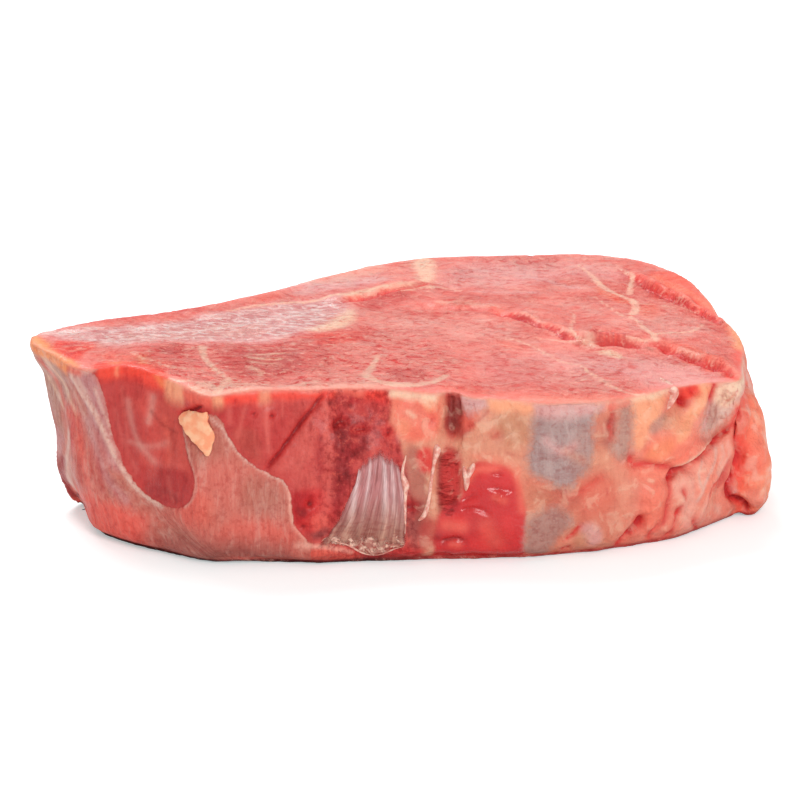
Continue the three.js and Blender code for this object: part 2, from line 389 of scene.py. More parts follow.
def beyond_ends(points, u, v):
    """How far each place lies past the ends of an open line, in millimetres."""
    line = np.array(points, float)
    past = np.zeros(len(u))
    for end, inner in ((line[0], line[1]), (line[-1], line[-2])):
        outward = (end - inner) / np.hypot(*(end - inner))
        past = np.maximum(past, (u - end[0]) * outward[0] + (v - end[1]) * outward[1])
    return past


# %% [markdown]
# Fine relief needs a finer net, but only where it shows: on the silverskin side with the corner at its
# right, and along the muscle edges. Faces there are selected by the way they face and by their place, and
# subdivided once.

# %% Finer net
LEDGE_STRIP = 3.0  # the net is fine up to this far from the foot of a step
mesh = steak.data
centres = np.empty(len(mesh.polygons) * 3)
mesh.polygons.foreach_get("center", centres)
centres = centres.reshape(-1, 3) / MM
facing = np.empty(len(mesh.polygons) * 3)
mesh.polygons.foreach_get("normal", facing)
facing = facing.reshape(-1, 3)
wanted = (facing[:, 1] < -0.3) & (facing[:, 2] > -0.9)
wanted |= (facing[:, 1] < 0.3) & (facing[:, 0] > 0.3) & (centres[:, 1] < -4)
on_top = facing[:, 2] > 0.5
for _, foot, *_ in LEDGES:
    off, _ = from_line(foot, centres[:, 0], centres[:, 1])
    past = beyond_ends(foot, centres[:, 0], centres[:, 1])
    wanted |= on_top & (np.abs(off) < LEDGE_STRIP) & (past < LEDGE_FADE)
bpy.ops.object.mode_set(mode="EDIT")
bpy.ops.mesh.select_mode(type="FACE")
bpy.ops.mesh.select_all(action="DESELECT")
bpy.ops.object.mode_set(mode="OBJECT")
mesh.polygons.foreach_set("select", wanted)
bpy.ops.object.mode_set(mode="EDIT")
bpy.ops.mesh.subdivide(number_cuts=1)
bpy.ops.object.mode_set(mode="OBJECT")
print("triangles now:", sum(len(p.vertices) - 2 for p in mesh.polygons))

# %% [markdown]
# A remesh rounds the edges off a little. A Shrinkwrap modifier lays the net back on the solid. Then the
# steps that voxels leave are smoothed out everywhere but on the rim, which a vertex group holds still.
# The rim is found by turning round the middle and taking, in each direction, the point that reaches
# furthest out and up.

# %% Rim
TURNS = 300
BETWEEN = 6  # places set between two neighbours on the rim


def rim_of(places):
    """A close ring of places along the rim, in the order of their turn."""
    turn = ((np.arctan2(places[:, 1], places[:, 0]) / math.tau) % 1.0 * TURNS).astype(int)
    reach = np.hypot(places[:, 0], places[:, 1]) + places[:, 2]
    order = np.lexsort((reach, turn))
    ring = places[order[np.flatnonzero(np.diff(turn[order], append=TURNS))]]
    ring = (np.roll(ring, 1, axis=0) + 2 * ring + np.roll(ring, -1, axis=0)) / 4
    share = np.arange(BETWEEN)[:, None] / BETWEEN
    return np.vstack([here + share * (ahead - here) for here, ahead in zip(ring, np.roll(ring, -1, axis=0))])


def off_rim(places):
    """For each place, how far the rim is."""
    ring = rim_of(places)
    tree = KDTree(len(ring))
    for i, place in enumerate(ring):
        tree.insert(place, i)
    tree.balance()
    return np.array([tree.find(place)[2] for place in places])


apply_modifier(steak, "SHRINKWRAP", target=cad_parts["steak"], wrap_method="NEAREST_SURFACEPOINT")
edge = off_rim(points_mm(mesh))
calm_group = steak.vertex_groups.new(name="off_the_rim")
for index, weight in enumerate(rise(edge, 0.2, 1.6)):
    calm_group.add([index], float(weight), "REPLACE")
apply_modifier(steak, "SMOOTH", factor=0.5, iterations=4, vertex_group=calm_group.name)
steak.vertex_groups.clear()
print("points on the rim's edge:", int((edge < 0.5).sum()))

# %% [markdown]
# Every later step asks the same questions of a point: is it on a cut or on a side, does it face the
# front, how far is it from the rim? The answers are measured once. The walls of the steps lean like a
# side, but they belong to the upper cut.

# %% Where each point lies
WALL_FOOT = 30.0  # height at which the walls of the steps begin
CORNER = 71.0  # from here on, the front side goes round the right-hand corner
co = points_mm(mesh)
normal = normals_of(mesh)
x, y, z = co.T.copy()
level = np.hypot(normal[:, 0], normal[:, 1]) + 1e-6
edge = off_rim(co)
upper = rise(normal[:, 2], 0.5, 0.85)
for _, foot, *_ in LEDGES:
    off, _ = from_line(foot, x, y)
    on_wall = (1 - rise(np.abs(off), RAMP, RAMP + 2)) * rise(edge, 1, 3)
    on_wall *= rise(z, WALL_FOOT, WALL_FOOT + 2)
    upper = np.maximum(upper, on_wall * rise(normal[:, 2], 0.1, 0.4))
lower = rise(-normal[:, 2], 0.6, 0.95)
side = np.clip(1 - upper - lower, 0, 1)
cuts = np.clip(upper + lower, 0, 1)
front = rise(-normal[:, 1] / level, -0.2, 0.15)
front = np.maximum(front, rise(x, CORNER, CORNER + 3) * rise(-y, 2, 8))
ring = rim_of(co)
rim_length = np.linalg.norm(ring - np.roll(ring, 1, axis=0), axis=1).sum()
print("rim length, mm:", round(float(rim_length), 1))

# %% [markdown]
# Relief on the cuts. Each ramp of the solid is taken down and its step put up again, steep, along its
# real foot. A groove is pressed in there, and noise that runs along the foot tears the wall into tufts,
# with a ragged red strip below them. The groove and the strip are kept for painting: raw red tissue
# and painted shade. Over the rest, bundles of fibres stand a fraction of a millimetre proud of the
# sheaths between them, stretched a little along the steak.

# %% Relief of the cuts
bend = np.stack([swell(co, 7.0, 11 + k) for k in range(3)], axis=1)
wander = co + 1.4 * bend
lift = np.zeros(len(co))
torn, groove_shade, crest, tufts, red_and_shaded_foot = np.zeros((5, len(co)))
TUFT = 1.0  # width of the torn tufts along a step


def step_fade(line, off, reach):
    """How much of a step is left at each place: less behind it and past its ends."""
    past = np.maximum(beyond_ends(line, x, y), 0)
    return np.exp(-np.maximum(off, 0) / reach - past / LEDGE_FADE)


for ramp, foot, step, reach, openness in LEDGES:
    off_ramp, _ = from_line(ramp, x, y)
    off, share = from_line(foot, x, y)
    opened = np.interp(share, np.linspace(0, 1, len(openness)), openness) + 0.2 * swell(co, 2.5, 23)
    opened = np.clip(opened, 0, 1)
    along = np.stack([share * np.hypot(*np.diff(foot, axis=0).T).sum(), y * 0, y * 0], axis=1)
    tuft = 0.7 * swell(along, 2.6 * TUFT, 21) + 0.3 * swell(along, 0.9 * TUFT, 25)
    uneven = off + 0.2 * tuft + 0.5 * swell(co, 3.0, 22)
    fade = step_fade(foot, off, reach)
    lift += step * opened * fade * rise(uneven, -0.3, 2.1)
    lift -= step * opened * step_fade(ramp, off_ramp, reach) * rise(off_ramp, -RAMP / 2, RAMP / 2)
    opened = opened * fade
    groove = np.exp(-(((uneven + 0.35) / 0.4) ** 2)) * opened
    lift -= 0.16 * step * groove
    groove_shade = np.maximum(groove_shade, groove)
    torn = np.maximum(torn, rise(uneven, -0.6, -0.1) * (1 - rise(uneven, 1.0, 2.6)) * opened)
    crest = np.maximum(crest, np.exp(-(((uneven - 1.8) / 0.7) ** 2)) * opened)
    tufts = np.where(np.abs(off) < RAMP, tuft, tufts)
    ragged = uneven + 0.45 * swell(along, 0.7 * TUFT, 26)
    red_and_shaded_foot = np.maximum(red_and_shaded_foot, rise(uneven, -0.5, -0.2) * (1 - rise(ragged, 0.35, 0.95)) * opened)
stretched = wander * [0.55, 1.0, 1.0]
_, bundle_gap = lobes(stretched, 2.2, 31)
lift += 0.1 * (rise(bundle_gap, 0.0, 0.45) - 0.6)
lift += 0.22 * swell(stretched, 3.2, 36) + 0.3 * swell(stretched, 8.0, 37)
hold_rim = rise(edge, 0.0, 2.5)
co[:, 2] += upper * lift * (0.35 + 0.65 * hold_rim)
co[:, 2] -= lower * 0.1 * (rise(bundle_gap, 0.0, 0.45) - 1.0)
print("lift of the upper cut, mm:", round(float(lift.min()), 2), "to", round(float(lift.max()), 2))

# %% [markdown]
# The silverskin side is drawn as outlines on its face, seen from the front: how far along the steak, and
# how high. Each outline is one patch of a real tissue: a thin membrane over muscle, a red swelling, or
# silverskin, the grey sheath round a muscle. The distances to their borders are kept, so that the shader
# can draw a border much sharper than the net of points.

# %% Patches of the front side
MEMBRANE = [
    (-90, 45), (-74, 39), (-67, 39), (-64.6, 34), (-63.2, 28), (-61.6, 22), (-59.5, 17.8), (-57, 14.3),
    (-53, 12.6), (-49, 12), (-46.6, 13.4), (-44.6, 16), (-44, 19.5), (-45.4, 23), (-46.5, 27), (-47.6, 31),
    (-45, 33.4), (-41.5, 34), (-39.6, 33.5), (-38, 31.5), (-36.8, 28.5), (-35, 25.5), (-31, 22),
    (-28, 20.2), (-25.6, 19.6), (-24, 18), (-23.6, 15), (-23.8, 12), (-22.6, 9), (-20.6, 7), (-19, 5.5),
    (-20, -5), (-90, -5)]
RED_PATCH = [
    (7.6, 11), (9.5, 13.5), (13, 14.5), (13.8, 20), (16, 22.8), (20.5, 22.2), (24, 20.4), (25.6, 16),
    (26.4, 12), (26.2, 6), (26.4, -3), (6.5, -3), (6.8, 5)]
SILVER_BIG = [
    (28.4, 36), (43, 36), (41.6, 31), (40.6, 28), (41.2, 25), (40.4, 21.5), (39.6, 19.6), (37.6, 18.6),
    (36.8, 16.6), (33, 16.8), (31.4, 18.4), (27.2, 20), (26.8, 23), (27.8, 27)]
SILVER_LOW = [
    (26.6, 9.8), (29, 10.6), (31, 12), (34.4, 11.6), (36.4, 9), (37, 7.6), (34.4, 6), (32.4, 4),
    (31.4, 1), (26.4, 1)]
SILVER_STRIP = [(46.2, 30.6), (48.2, 33.8), (49.4, 33), (49.3, 23), (48, 21.2), (46.2, 21.8), (45.6, 25)]
SILVER_NOTCH = [(12.2, 36.6), (18.4, 36), (17.6, 33.6), (14.6, 32.4), (12.4, 32.8)]
SILVER_CORNER = [
    (69.6, 34), (76, 33.6), (74.8, 30), (73.2, 27.4), (71.6, 24.4), (70, 22.6), (66, 23), (65.6, 26),
    (67.4, 29.5)]
sway = 0.4 * swell(co, 3.0, 41)
u, w = x + sway, z + 0.4 * swell(co, 3.0, 42)
film_off = inside(MEMBRANE, u, w)
red_off = inside(RED_PATCH, u, w)
silver_parts = [SILVER_BIG, SILVER_LOW, SILVER_STRIP, SILVER_NOTCH, SILVER_CORNER]
silver_off = np.max([inside(part, u, w) for part in silver_parts], axis=0)
on_front = side * front
film = rise(film_off, -0.3, 0.3) * on_front
silver = rise(silver_off, -1.0, 1.0) * on_front
wet_red = rise(red_off, -0.8, 0.8) * on_front
FAT = [
    # the border on its left, then round the far end of the steak
    (-3.4, 40), (-2.2, 34), (-2.8, 31.5), (-1.6, 29), (-0.6, 26), (1.2, 22), (1.6, 17), (3, 12), (5, -5),
    (120, -5), (120, 45)]
fat = rise(inside(FAT, u, w), -0.6, 0.6) * on_front * (1 - wet_red)
muscle = np.clip(on_front - film - silver - fat - wet_red, 0, 1)
print("share of the front that is fat:", round(float(fat.sum() / on_front.sum()), 2))

# %% [markdown]
# The relief of that side follows the tissues. Bare muscle is ribbed along its fibres, the membrane lies
# over it with a thin free edge, fat is lumpy, and the folds at the right-hand corner part along deep
# creases. Ridges are drawn like creases, with their depth below zero. Below the beak of the pointed end
# the side is hollow, and all along the front its foot draws back from the table.

# %% Relief of the sides
CREASES = [
    # line (x, z), half its width, its depth
    ([(10.4, 38.4), (10.6, 35), (10.5, 31), (10.8, 27.6)], 0.8, 1.3),
    ([(12, 38), (11.9, 34.6), (12.2, 31.4)], 0.5, 0.7),
    ([(-16.5, 37.5), (-19, 34.5), (-22, 31), (-24.5, 27.5), (-29, 21.8)], 0.5, 1.0),
    ([(-47.8, 32.8), (-45, 33.9), (-43, 35.3)], 0.45, 1.1),
    ([(-14.5, 30.5), (-13, 31.6), (-12, 31)], 0.7, 1.0),
    ([(-10.4, 29.2), (-8.4, 29.6), (-7.6, 29.2)], 0.6, 0.8),
    ([(49.2, 21.9), (49.9, 19.4), (51.5, 19.2), (54.4, 18.9), (58.4, 17.5)], 0.7, 0.7),
    ([(58.6, 14.8), (58.8, 16.4), (60.6, 16.6), (62.4, 16.5)], 0.8, 1.9),
    ([(62.4, 16.5), (64.4, 17.6), (65.9, 18.2), (66.9, 18.5), (67.8, 19.4), (69.2, 19.6), (71, 21),
      (73, 22.4)], 0.6, 1.4),
    ([(58.6, 15), (58.4, 12.6), (57.6, 8.1), (57.1, 4.9)], 0.6, 0.45),
    ([(76.2, 28), (75.2, 25.4), (74, 22.2), (74.3, 19), (75, 16), (74.2, 13), (73.7, 10.6), (72.4, 8.8),
      (72.8, 6.3), (74.6, 4.6), (76.6, 3), (77.4, 0)], 0.95, 2.3),
    ([(49, 3.4), (51.4, 5.4), (52.4, 7.4)], 0.8, 1.4),
    ([(46.4, 0), (47.6, 2), (49, 3.4)], 0.8, 0.8),
    ([(54.4, 1), (54.2, 3.4), (55.4, 4.6)], 0.6, 0.7),
    ([(57.6, 1), (59.4, 3), (60.1, 5), (60.1, 6.6), (60.9, 8.4)], 0.6, 0.8),
    ([(61.2, 12), (61.9, 10)], 0.5, 0.5),
    ([(65.2, 0.5), (64.4, 3), (64, 4.6)], 0.6, 0.8),
    ([(69, 11.2), (67.6, 10.1), (67.4, 7.6)], 0.6, 0.8),
    ([(60.6, 31.2), (61.4, 30.2), (62.2, 30.2)], 0.8, 1.8),
    ([(68.7, 34), (68.4, 31.5), (67.8, 29.4)], 0.55, 1.0),
    ([(63, 34), (63.2, 32.6), (64, 31.8)], 0.8, 0.7),
    ([(45.4, 33.4), (45.3, 30), (45, 26)], 0.5, 0.5),
    ([(35.4, 4.2), (37, 5.4), (38.6, 7.4)], 0.5, 0.8),
    ([(34.6, 1.6), (36.4, 2.2)], 0.5, 0.9),
    ([(36.4, 14.5), (40, 15.8), (43, 17.5)], 0.6, 0.4),
    ([(18.5, 17.3), (20, 17.2), (21.6, 16.6), (23.6, 16.7)], 0.4, 0.6),
    ([(19.4, 20.3), (21.2, 20)], 0.4, 0.4),
    ([(13.2, 14.4), (15.6, 15.6)], 0.5, 0.6),
    ([(13, 12.4), (16, 12.9), (18.6, 11.7)], 0.5, 0.6),
    ([(8.4, 5.2), (10.4, 5.8), (12.6, 6), (13.6, 5)], 0.6, 0.9),
    # ridges
    ([(66.9, 34), (66.4, 31), (64.8, 27.8), (62.4, 24.6), (60.2, 21.6)], 1.7, -1.1),
    ([(73, 33.6), (71.6, 29.6), (69.4, 26.4), (67.4, 24)], 2.0, -0.6),
    ([(54.6, 33), (54, 27), (55.6, 22)], 3.0, -0.7),
    ([(62.6, 14), (61.6, 10.6), (60.6, 8)], 1.4, -0.7),
    ([(71.6, 19), (71.8, 16.2), (70.2, 13.4), (67.8, 10.9), (66, 7.1), (64.8, 3.2)], 1.2, -0.8),
    ([(69, 19), (69.2, 16), (67.4, 13.9), (65.9, 11.6), (64.8, 8.9)], 0.7, -0.4),
    ([(59.8, 17.8), (62.2, 18.4), (64, 19.4), (65.8, 20.4), (67, 21.4)], 1.1, -0.6),
    ([(56, 15), (55, 9), (53.4, 4)], 2.2, -0.8),
    ([(41.2, 7.4), (41.8, 5.4), (41.4, 3)], 1.6, -0.8),
    ([(20.4, 15), (21.6, 14.6)], 1.8, -0.8),
    ([(-52, 40.4), (-60, 40.6), (-65, 39)], 1.6, -0.6),
    ([(-76.5, 30), (-72, 22), (-70, 10)], 1.6, -0.4),
    ([(-72.6, 37), (-67.5, 30.5), (-63.5, 23), (-59, 16)], 0.7, -0.35),
]
PITS = [
    # place (x, z), radius, depth
    (-35.6, 36.8, 0.5, 0.6), (-31.4, 34.2, 0.6, 0.8), (-27.6, 33.5, 0.5, 0.9), (-3.0, 28.6, 0.8, 0.7),
    (-19.9, 14.4, 0.9, 0.9), (-21.5, 9.6, 0.8, 0.8), (6.2, 31, 0.9, 0.5), (66.9, 18.4, 0.9, 1.1),
    (44.6, 28.6, 0.8, 0.6), (2.0, 13.0, 1.4, 0.8)]
TIP_HOLLOW = 1.4  # how far the side falls back below the beak of the pointed end
UNDERCUT = 2.2  # how far the foot of the front side draws back
UNDERCUT_REACH = 1.5  # how far up from the foot it does so
FOLDS_START = 46.0  # the fat lies in folds from here on
SQUEEZE = 0.16  # squeezing the height by this draws noise out into upright streaks
tall = co * [1, 1, SQUEEZE]
push = np.zeros(len(co))
push += muscle * (0.2 * swell(tall, 1.8, 51) + 0.3 * swell(tall, 5.0, 52) + 0.12 * swell(co, 1.6, 50))
push += film * (0.3 * rise(film_off, -0.1, 0.5) + 0.06 * swell(tall, 2.4, 53))
_, lump_gap = lobes(co + 1.2 * bend, 5.5, 54)
folded = rise(x, FOLDS_START, FOLDS_START + 8)
push += fat * (0.3 * folded * (rise(lump_gap, 0, 0.5) - 0.7) + (0.25 + 0.25 * folded) * swell(co, 7.0, 57))
push += fat * 0.12 * swell(co, 2.6, 58)
push += silver * 0.25
push += wet_red * (0.45 * swell(co, 4.2, 59) + 0.22 * swell(co, 1.9, 60))
depth = np.zeros(len(co))
bent_x = x + 0.25 * swell(co, 2.5, 61)
for path, half, deep in CREASES:
    near = close_to(path, bent_x, z, 4 * half)
    off, share = from_line(path, bent_x[near], z[near])
    taper = rise(share, -0.05, 0.2) * rise(1 - share, -0.05, 0.2)
    cut_in = np.exp(-((off / half) ** 2)) * np.clip(0.4 + taper, 0, 1)
    push[near] -= on_front[near] * deep * cut_in
    if deep > 0:
        depth[near] = np.maximum(depth[near], cut_in * min(deep / 1.2, 1) * on_front[near])
for px, pz, radius, deep in PITS:
    hollow = np.exp(-(((u - px) ** 2 + (w - pz) ** 2) / radius**2)) * on_front
    push -= deep * hollow
    depth = np.maximum(depth, min(deep, 1) * hollow)
push -= TIP_HOLLOW * side * rise(-x, 71, 76.5) * rise(z, 8, 20) * (1 - rise(z, 31, 36))
elsewhere = side * (1 - front)
push += elsewhere * (0.22 * swell(tall, 2.4, 62) + 0.4 * swell(co, 7.0, 63))
hold_edges = rise(z, 0.3, 2.0) * (0.3 + 0.7 * rise(edge, 0.2, 1.6))
foot_edge = off_rim(co * [1, 1, -1])
co += normal * (push * hold_edges)[:, None]
tucked = rise(-y, 10, 24) * (0.75 + 0.35 * swell(co, 9.0, 64)) * np.exp(-((foot_edge / UNDERCUT_REACH) ** 2))
co[:, 1] += UNDERCUT * tucked
co[:, 2] = np.maximum(co[:, 2], 0)
place_points(mesh, co)
print("push of the sides, mm:", round(float(push.min()), 2), "to", round(float(push.max()), 2))

# %% [markdown]
# Colour is laid on in washes and touches, as a model painter would. A wash has one colour and a strength
# at every point. Two coats are painted: the bare tissue, and the veil of membrane or silverskin that the
# shader lays over it inside the borders above.


# %% Washes
class Coat:
    """One coat of paint, a colour at every point."""

    def __init__(self, colour):
        self.paint = np.tile(PALETTE[colour], (len(co), 1))

    def wash(self, colour, strength, near=slice(None)):
        """Lays a colour over the paint, as strongly as strength says at each point."""
        cover = np.clip(strength, 0, 1)[:, None]
        self.paint[near] = self.paint[near] * (1 - cover) + PALETTE[colour] * cover

    def lines(self, touches, u, v, where):
        """Soft strokes. Each has a colour, a strength, half a width and its points."""
        for colour, strength, half, points in touches:
            near = close_to(points, u, v, 3 * half)
            off, _ = from_line(points, u[near], v[near])
            self.wash(colour, strength * np.exp(-((off / half) ** 2)) * where[near], near)

    def areas(self, touches, u, v, where):
        """Soft patches. Each has a colour, a strength, the softness of its border and its outline."""
        for colour, strength, soft, outline in touches:
            near = close_to(outline, u, v, soft)
            off = inside(outline, u[near], v[near])
            self.wash(colour, strength * rise(off, -soft, soft) * where[near], near)


bare = Coat("rose")
veil = Coat("film_pink")
broad = swell(co, 19.0, 71)
middling = swell(co, 7.0, 72)
fine = swell(co, 2.5, 73)

# %% [markdown]
# The upper cut first. It is rose all over, darker where the bundles lie open, painted lilac and almost
# white where the wet sheath on the left mirrors the sky, a painted reflection, and cream along the
# seams. Its front part is cut straight across the grain, which makes it a lighter, warmer rose. The torn
# walls of the steps come last: rose, with cream tufts at their crest, scarlet and blood red at their
# foot and in the groove there, partly the raw tissue and partly painted shade, and red ribs at the
# start of the long step on the right. Places are seen from above.

# %% Washes of the cuts
tx, ty = x + 0.9 * middling, y + 0.9 * fine
bare.wash("deep_rose", cuts * (0.2 + 0.3 * broad + 0.3 * middling))
bare.wash("pale_rose", cuts * (0.1 - 0.3 * broad + 0.4 * swell(stretched, 3.4, 74)))
OPEN_GRAIN = [
    (-56, -27), (-44, -22), (-25, -18), (-8, -8), (6, -14), (14, -30), (8, -46), (-10, -54), (-36, -60),
    (-56, -44)]
open_grain = rise(inside(OPEN_GRAIN, x, y), -4, 4)
bare.wash("open_rose", (0.5 * open_grain + 0.45 * rise(-y, 10, 20) * (1 - rise(x, 15, 35))) * cuts)
TOP_AREAS = [
    ("open_rose", 0.8, 1.5, [(42, -13), (43, -8), (49, -7), (55, -8), (56, -12), (49, -13)]),
    ("haze", 0.55, 6, [(8, 34), (14, 53), (32, 53), (36, 38), (26, 29), (13, 29)]),
    # Painted reflection: lilac, almost white, where the wet sheath mirrors the sky.
    ("lilac", 0.75, 3.5, [
        (-82, -15.5), (-70, -13.5), (-60, -10), (-50, -6), (-40, 0), (-32, 8), (-22, 15), (-14, 18),
        (-12, 8), (-17, -1), (-21, -9), (-27, -17), (-38, -20), (-48, -22), (-60, -26), (-70, -23),
        (-80, -20)]),
    ("cream_rose", 0.35, 2.5, [
        (-66, -17.5), (-50, -11), (-38, -6), (-31, -4), (-30, -12), (-42, -17), (-60, -23)]),
    ("rose_red", 0.9, 1.0, [
        (-78, -20.6), (-70.5, -20.8), (-68.5, -25), (-69.8, -32), (-74, -35), (-77, -27)]),
    ("ember", 0.85, 0.8, [
        (-78, -20.6), (-73.4, -20), (-68.4, -20.4), (-66.6, -23.4), (-69.4, -30), (-71.4, -36),
        (-74, -34), (-76.4, -27)]),
    ("scarlet", 0.7, 0.6, [(-75.6, -22), (-70.6, -21.6), (-70.6, -24), (-74.6, -25)]),
    ("scarlet", 0.6, 0.5, [(-72.6, -33), (-70.6, -29), (-71.6, -28), (-73.6, -31)]),
    ("ember", 0.95, 0.8, [
        (-68, -38), (-63.8, -35.4), (-60.7, -36.2), (-57, -39), (-53.3, -41), (-51.2, -44.7),
        (-49.6, -49.3), (-52, -53), (-60, -47), (-67, -42)]),
    ("orange", 0.5, 0.8, [(-64, -36.4), (-61, -36.8), (-61, -42), (-64, -41)]),
    ("orange", 0.95, 0.8, [
        (-85, -17), (-80.5, -18.5), (-76.6, -27), (-72, -35), (-70, -38), (-74, -40), (-86, -22)]),
    ("salmon", 0.6, 2.0, [(-68, -31), (-58, -30), (-52, -34), (-48, -44), (-56, -43), (-64, -37)]),
    ("deep_rose", 0.5, 2.0, [(-57, -25), (-48, -23), (-45, -29), (-44, -39), (-50, -40), (-56, -33)]),
    ("deep_rose", 0.6, 2.5, [
        (-42, -24), (-33, -21), (-25, -18.5), (-18, -20), (-13, -27), (-16, -38), (-24, -43), (-34, -48),
        (-38, -43), (-41, -34)]),
    ("rose_red", 0.6, 2.0, [
        (-39, -28), (-33, -24.6), (-24.8, -24), (-22.5, -32), (-24, -41), (-30, -44), (-36, -41)]),
    ("muscle", 0.5, 1.4, [(-54.6, -26), (-49, -26), (-48, -31), (-52, -32)]),
    ("cream_rose", 0.75, 2.0, [(-46, -51), (-37, -46), (-30, -51), (-33, -60), (-42, -60)]),
    ("rose_red", 0.55, 1.2, [(-4, -34), (2, -33), (6, -38), (4, -43.5), (-3, -42.5)]),
    ("rose_red", 0.65, 2.0, [(-10, 19), (-2, 24), (3, 24), (0, 16), (-6, 9), (-10, 11)]),
    ("cream", 0.85, 1.2, [
        (-13.5, 15), (-8, 19.5), (-2, 23.5), (5, 26.5), (6.5, 29), (-2, 27.5), (-9, 23.5), (-14, 19)]),
    ("cream", 0.8, 1.5, [(-12, 9), (-9.5, 2), (-13, -6), (-20, -11), (-23, -8.5), (-17, -3), (-14, 3)]),
    ("ember", 0.6, 2.0, [(-20, -12), (-13, -8), (-8, -9), (-8, -15), (-14, -21), (-21, -19)]),
    ("cream", 0.75, 1.4, [(2.8, 54), (8, 54), (7.6, 40), (6.6, 30), (3.6, 29), (3, 40)]),
    ("glow", 0.85, 0.8, [
        (45.3, 30.8), (46.2, 25.6), (48.8, 20.2), (53.6, 16.8), (54, 20.5), (50, 25), (47.5, 30)]),
    ("ember", 0.45, 0.6, [(46, 26.5), (48.8, 20.4), (53.4, 17), (53.4, 18.4), (49, 22.4)]),
    ("salmon", 0.75, 1.4, [(56, 20), (60, 19), (60.4, 9), (57, 5), (55, 8)]),
    ("ember", 0.7, 1.4, [
        (56.5, 38), (60, 31), (64, 23.5), (68, 19), (72, 11), (76, 6), (76, 18), (74, 27), (70, 37),
        (62, 43)]),
    ("salmon", 0.7, 1.6, [(60, 40), (66, 31), (72, 22), (76, 14), (76, 24), (70, 37), (63, 43)]),
    ("glow", 0.7, 0.9, [
        (58, 37), (61.7, 32.6), (66, 26), (69, 22), (71, 17), (73, 12), (74, 16), (70, 26), (64, 35),
        (60, 40)]),
    ("rose_red", 0.6, 0.8, [(51.5, 46.5), (53.6, 45), (54.6, 41), (53, 38), (51.4, 42)]),
    ("rose_red", 0.6, 1.4, [(52.2, 46), (54, 44.2), (55.5, 39), (55.2, 35.3), (53, 36.7), (51.6, 41)]),
    ("salmon", 0.7, 0.8, [(54.7, 16.5), (57, 16.3), (57, 10.5), (54.8, 10.8)]),
    ("salmon", 0.65, 1.0, [(47.8, 28.8), (51.2, 28.5), (53.7, 23), (53.3, 18), (49.8, 20.2)]),
    ("salmon", 0.5, 1.4, [(20.6, -10.6), (24.6, -11.4), (28.4, -17), (27, -19.4), (22, -16.6)]),
    ("haze", 0.55, 4.0, [(54, -17), (62, -22), (72, -30), (68, -36), (54, -40), (42, -30), (44, -20)]),
    ("haze", 0.35, 4.0, [(30, -18), (44, -16), (46, -28), (36, -26)]),
    ("haze", 0.25, 4.0, [(16, -22), (16, -40), (34, -42), (46, -34), (40, -20)]),
    ("haze", 0.45, 4.0, [(28, 36), (30, 52), (44, 52), (54, 42), (50, 36), (40, 38)]),
    ("haze", 0.9, 3.0, [(-30, 18), (-27, 32), (-8, 38), (-2, 31), (-12, 25), (-16, 20)]),
    ("salmon", 0.75, 1.0, [
        (57.4, -13.6), (60.5, -12), (64.5, -14.6), (68.5, -18.6), (71.6, -23), (70, -26), (66.5, -24),
        (62, -19)]),
    ("ember", 0.5, 0.8, [(57.6, -14), (62, -16), (66, -20.6), (69.6, -25), (66.5, -24.4), (62, -20)]),
    ("pale_rose", 0.4, 3.0, [(58, 16), (66, 15), (71, 4), (68, -6), (60, -6), (57, 4)]),
    ("cream", 0.8, 0.7, [(43, -16.3), (45.5, -16), (50, -19), (49, -20.6), (45, -18.6)]),
    ("deep_rose", 0.4, 3.0, [(13, 23), (25, 21), (26, 13), (13, 14)]),
    ("ember", 0.5, 1.6, [(74, -10), (78, -12), (76, -30), (72.5, -28)]),
    ("deep_rose", 0.15, 3.5, [(2, -22), (20, -25), (32, -33), (20, -40), (4, -30)]),
    ("cream_rose", 0.45, 2.0, [(-24, 25), (-12, 30), (-4, 40), (-6, 52), (-16, 48), (-26, 36)]),
    ("peach", 0.6, 1.0, [(-47, -54), (-43.5, -52), (-42, -55), (-45, -58)]),
]
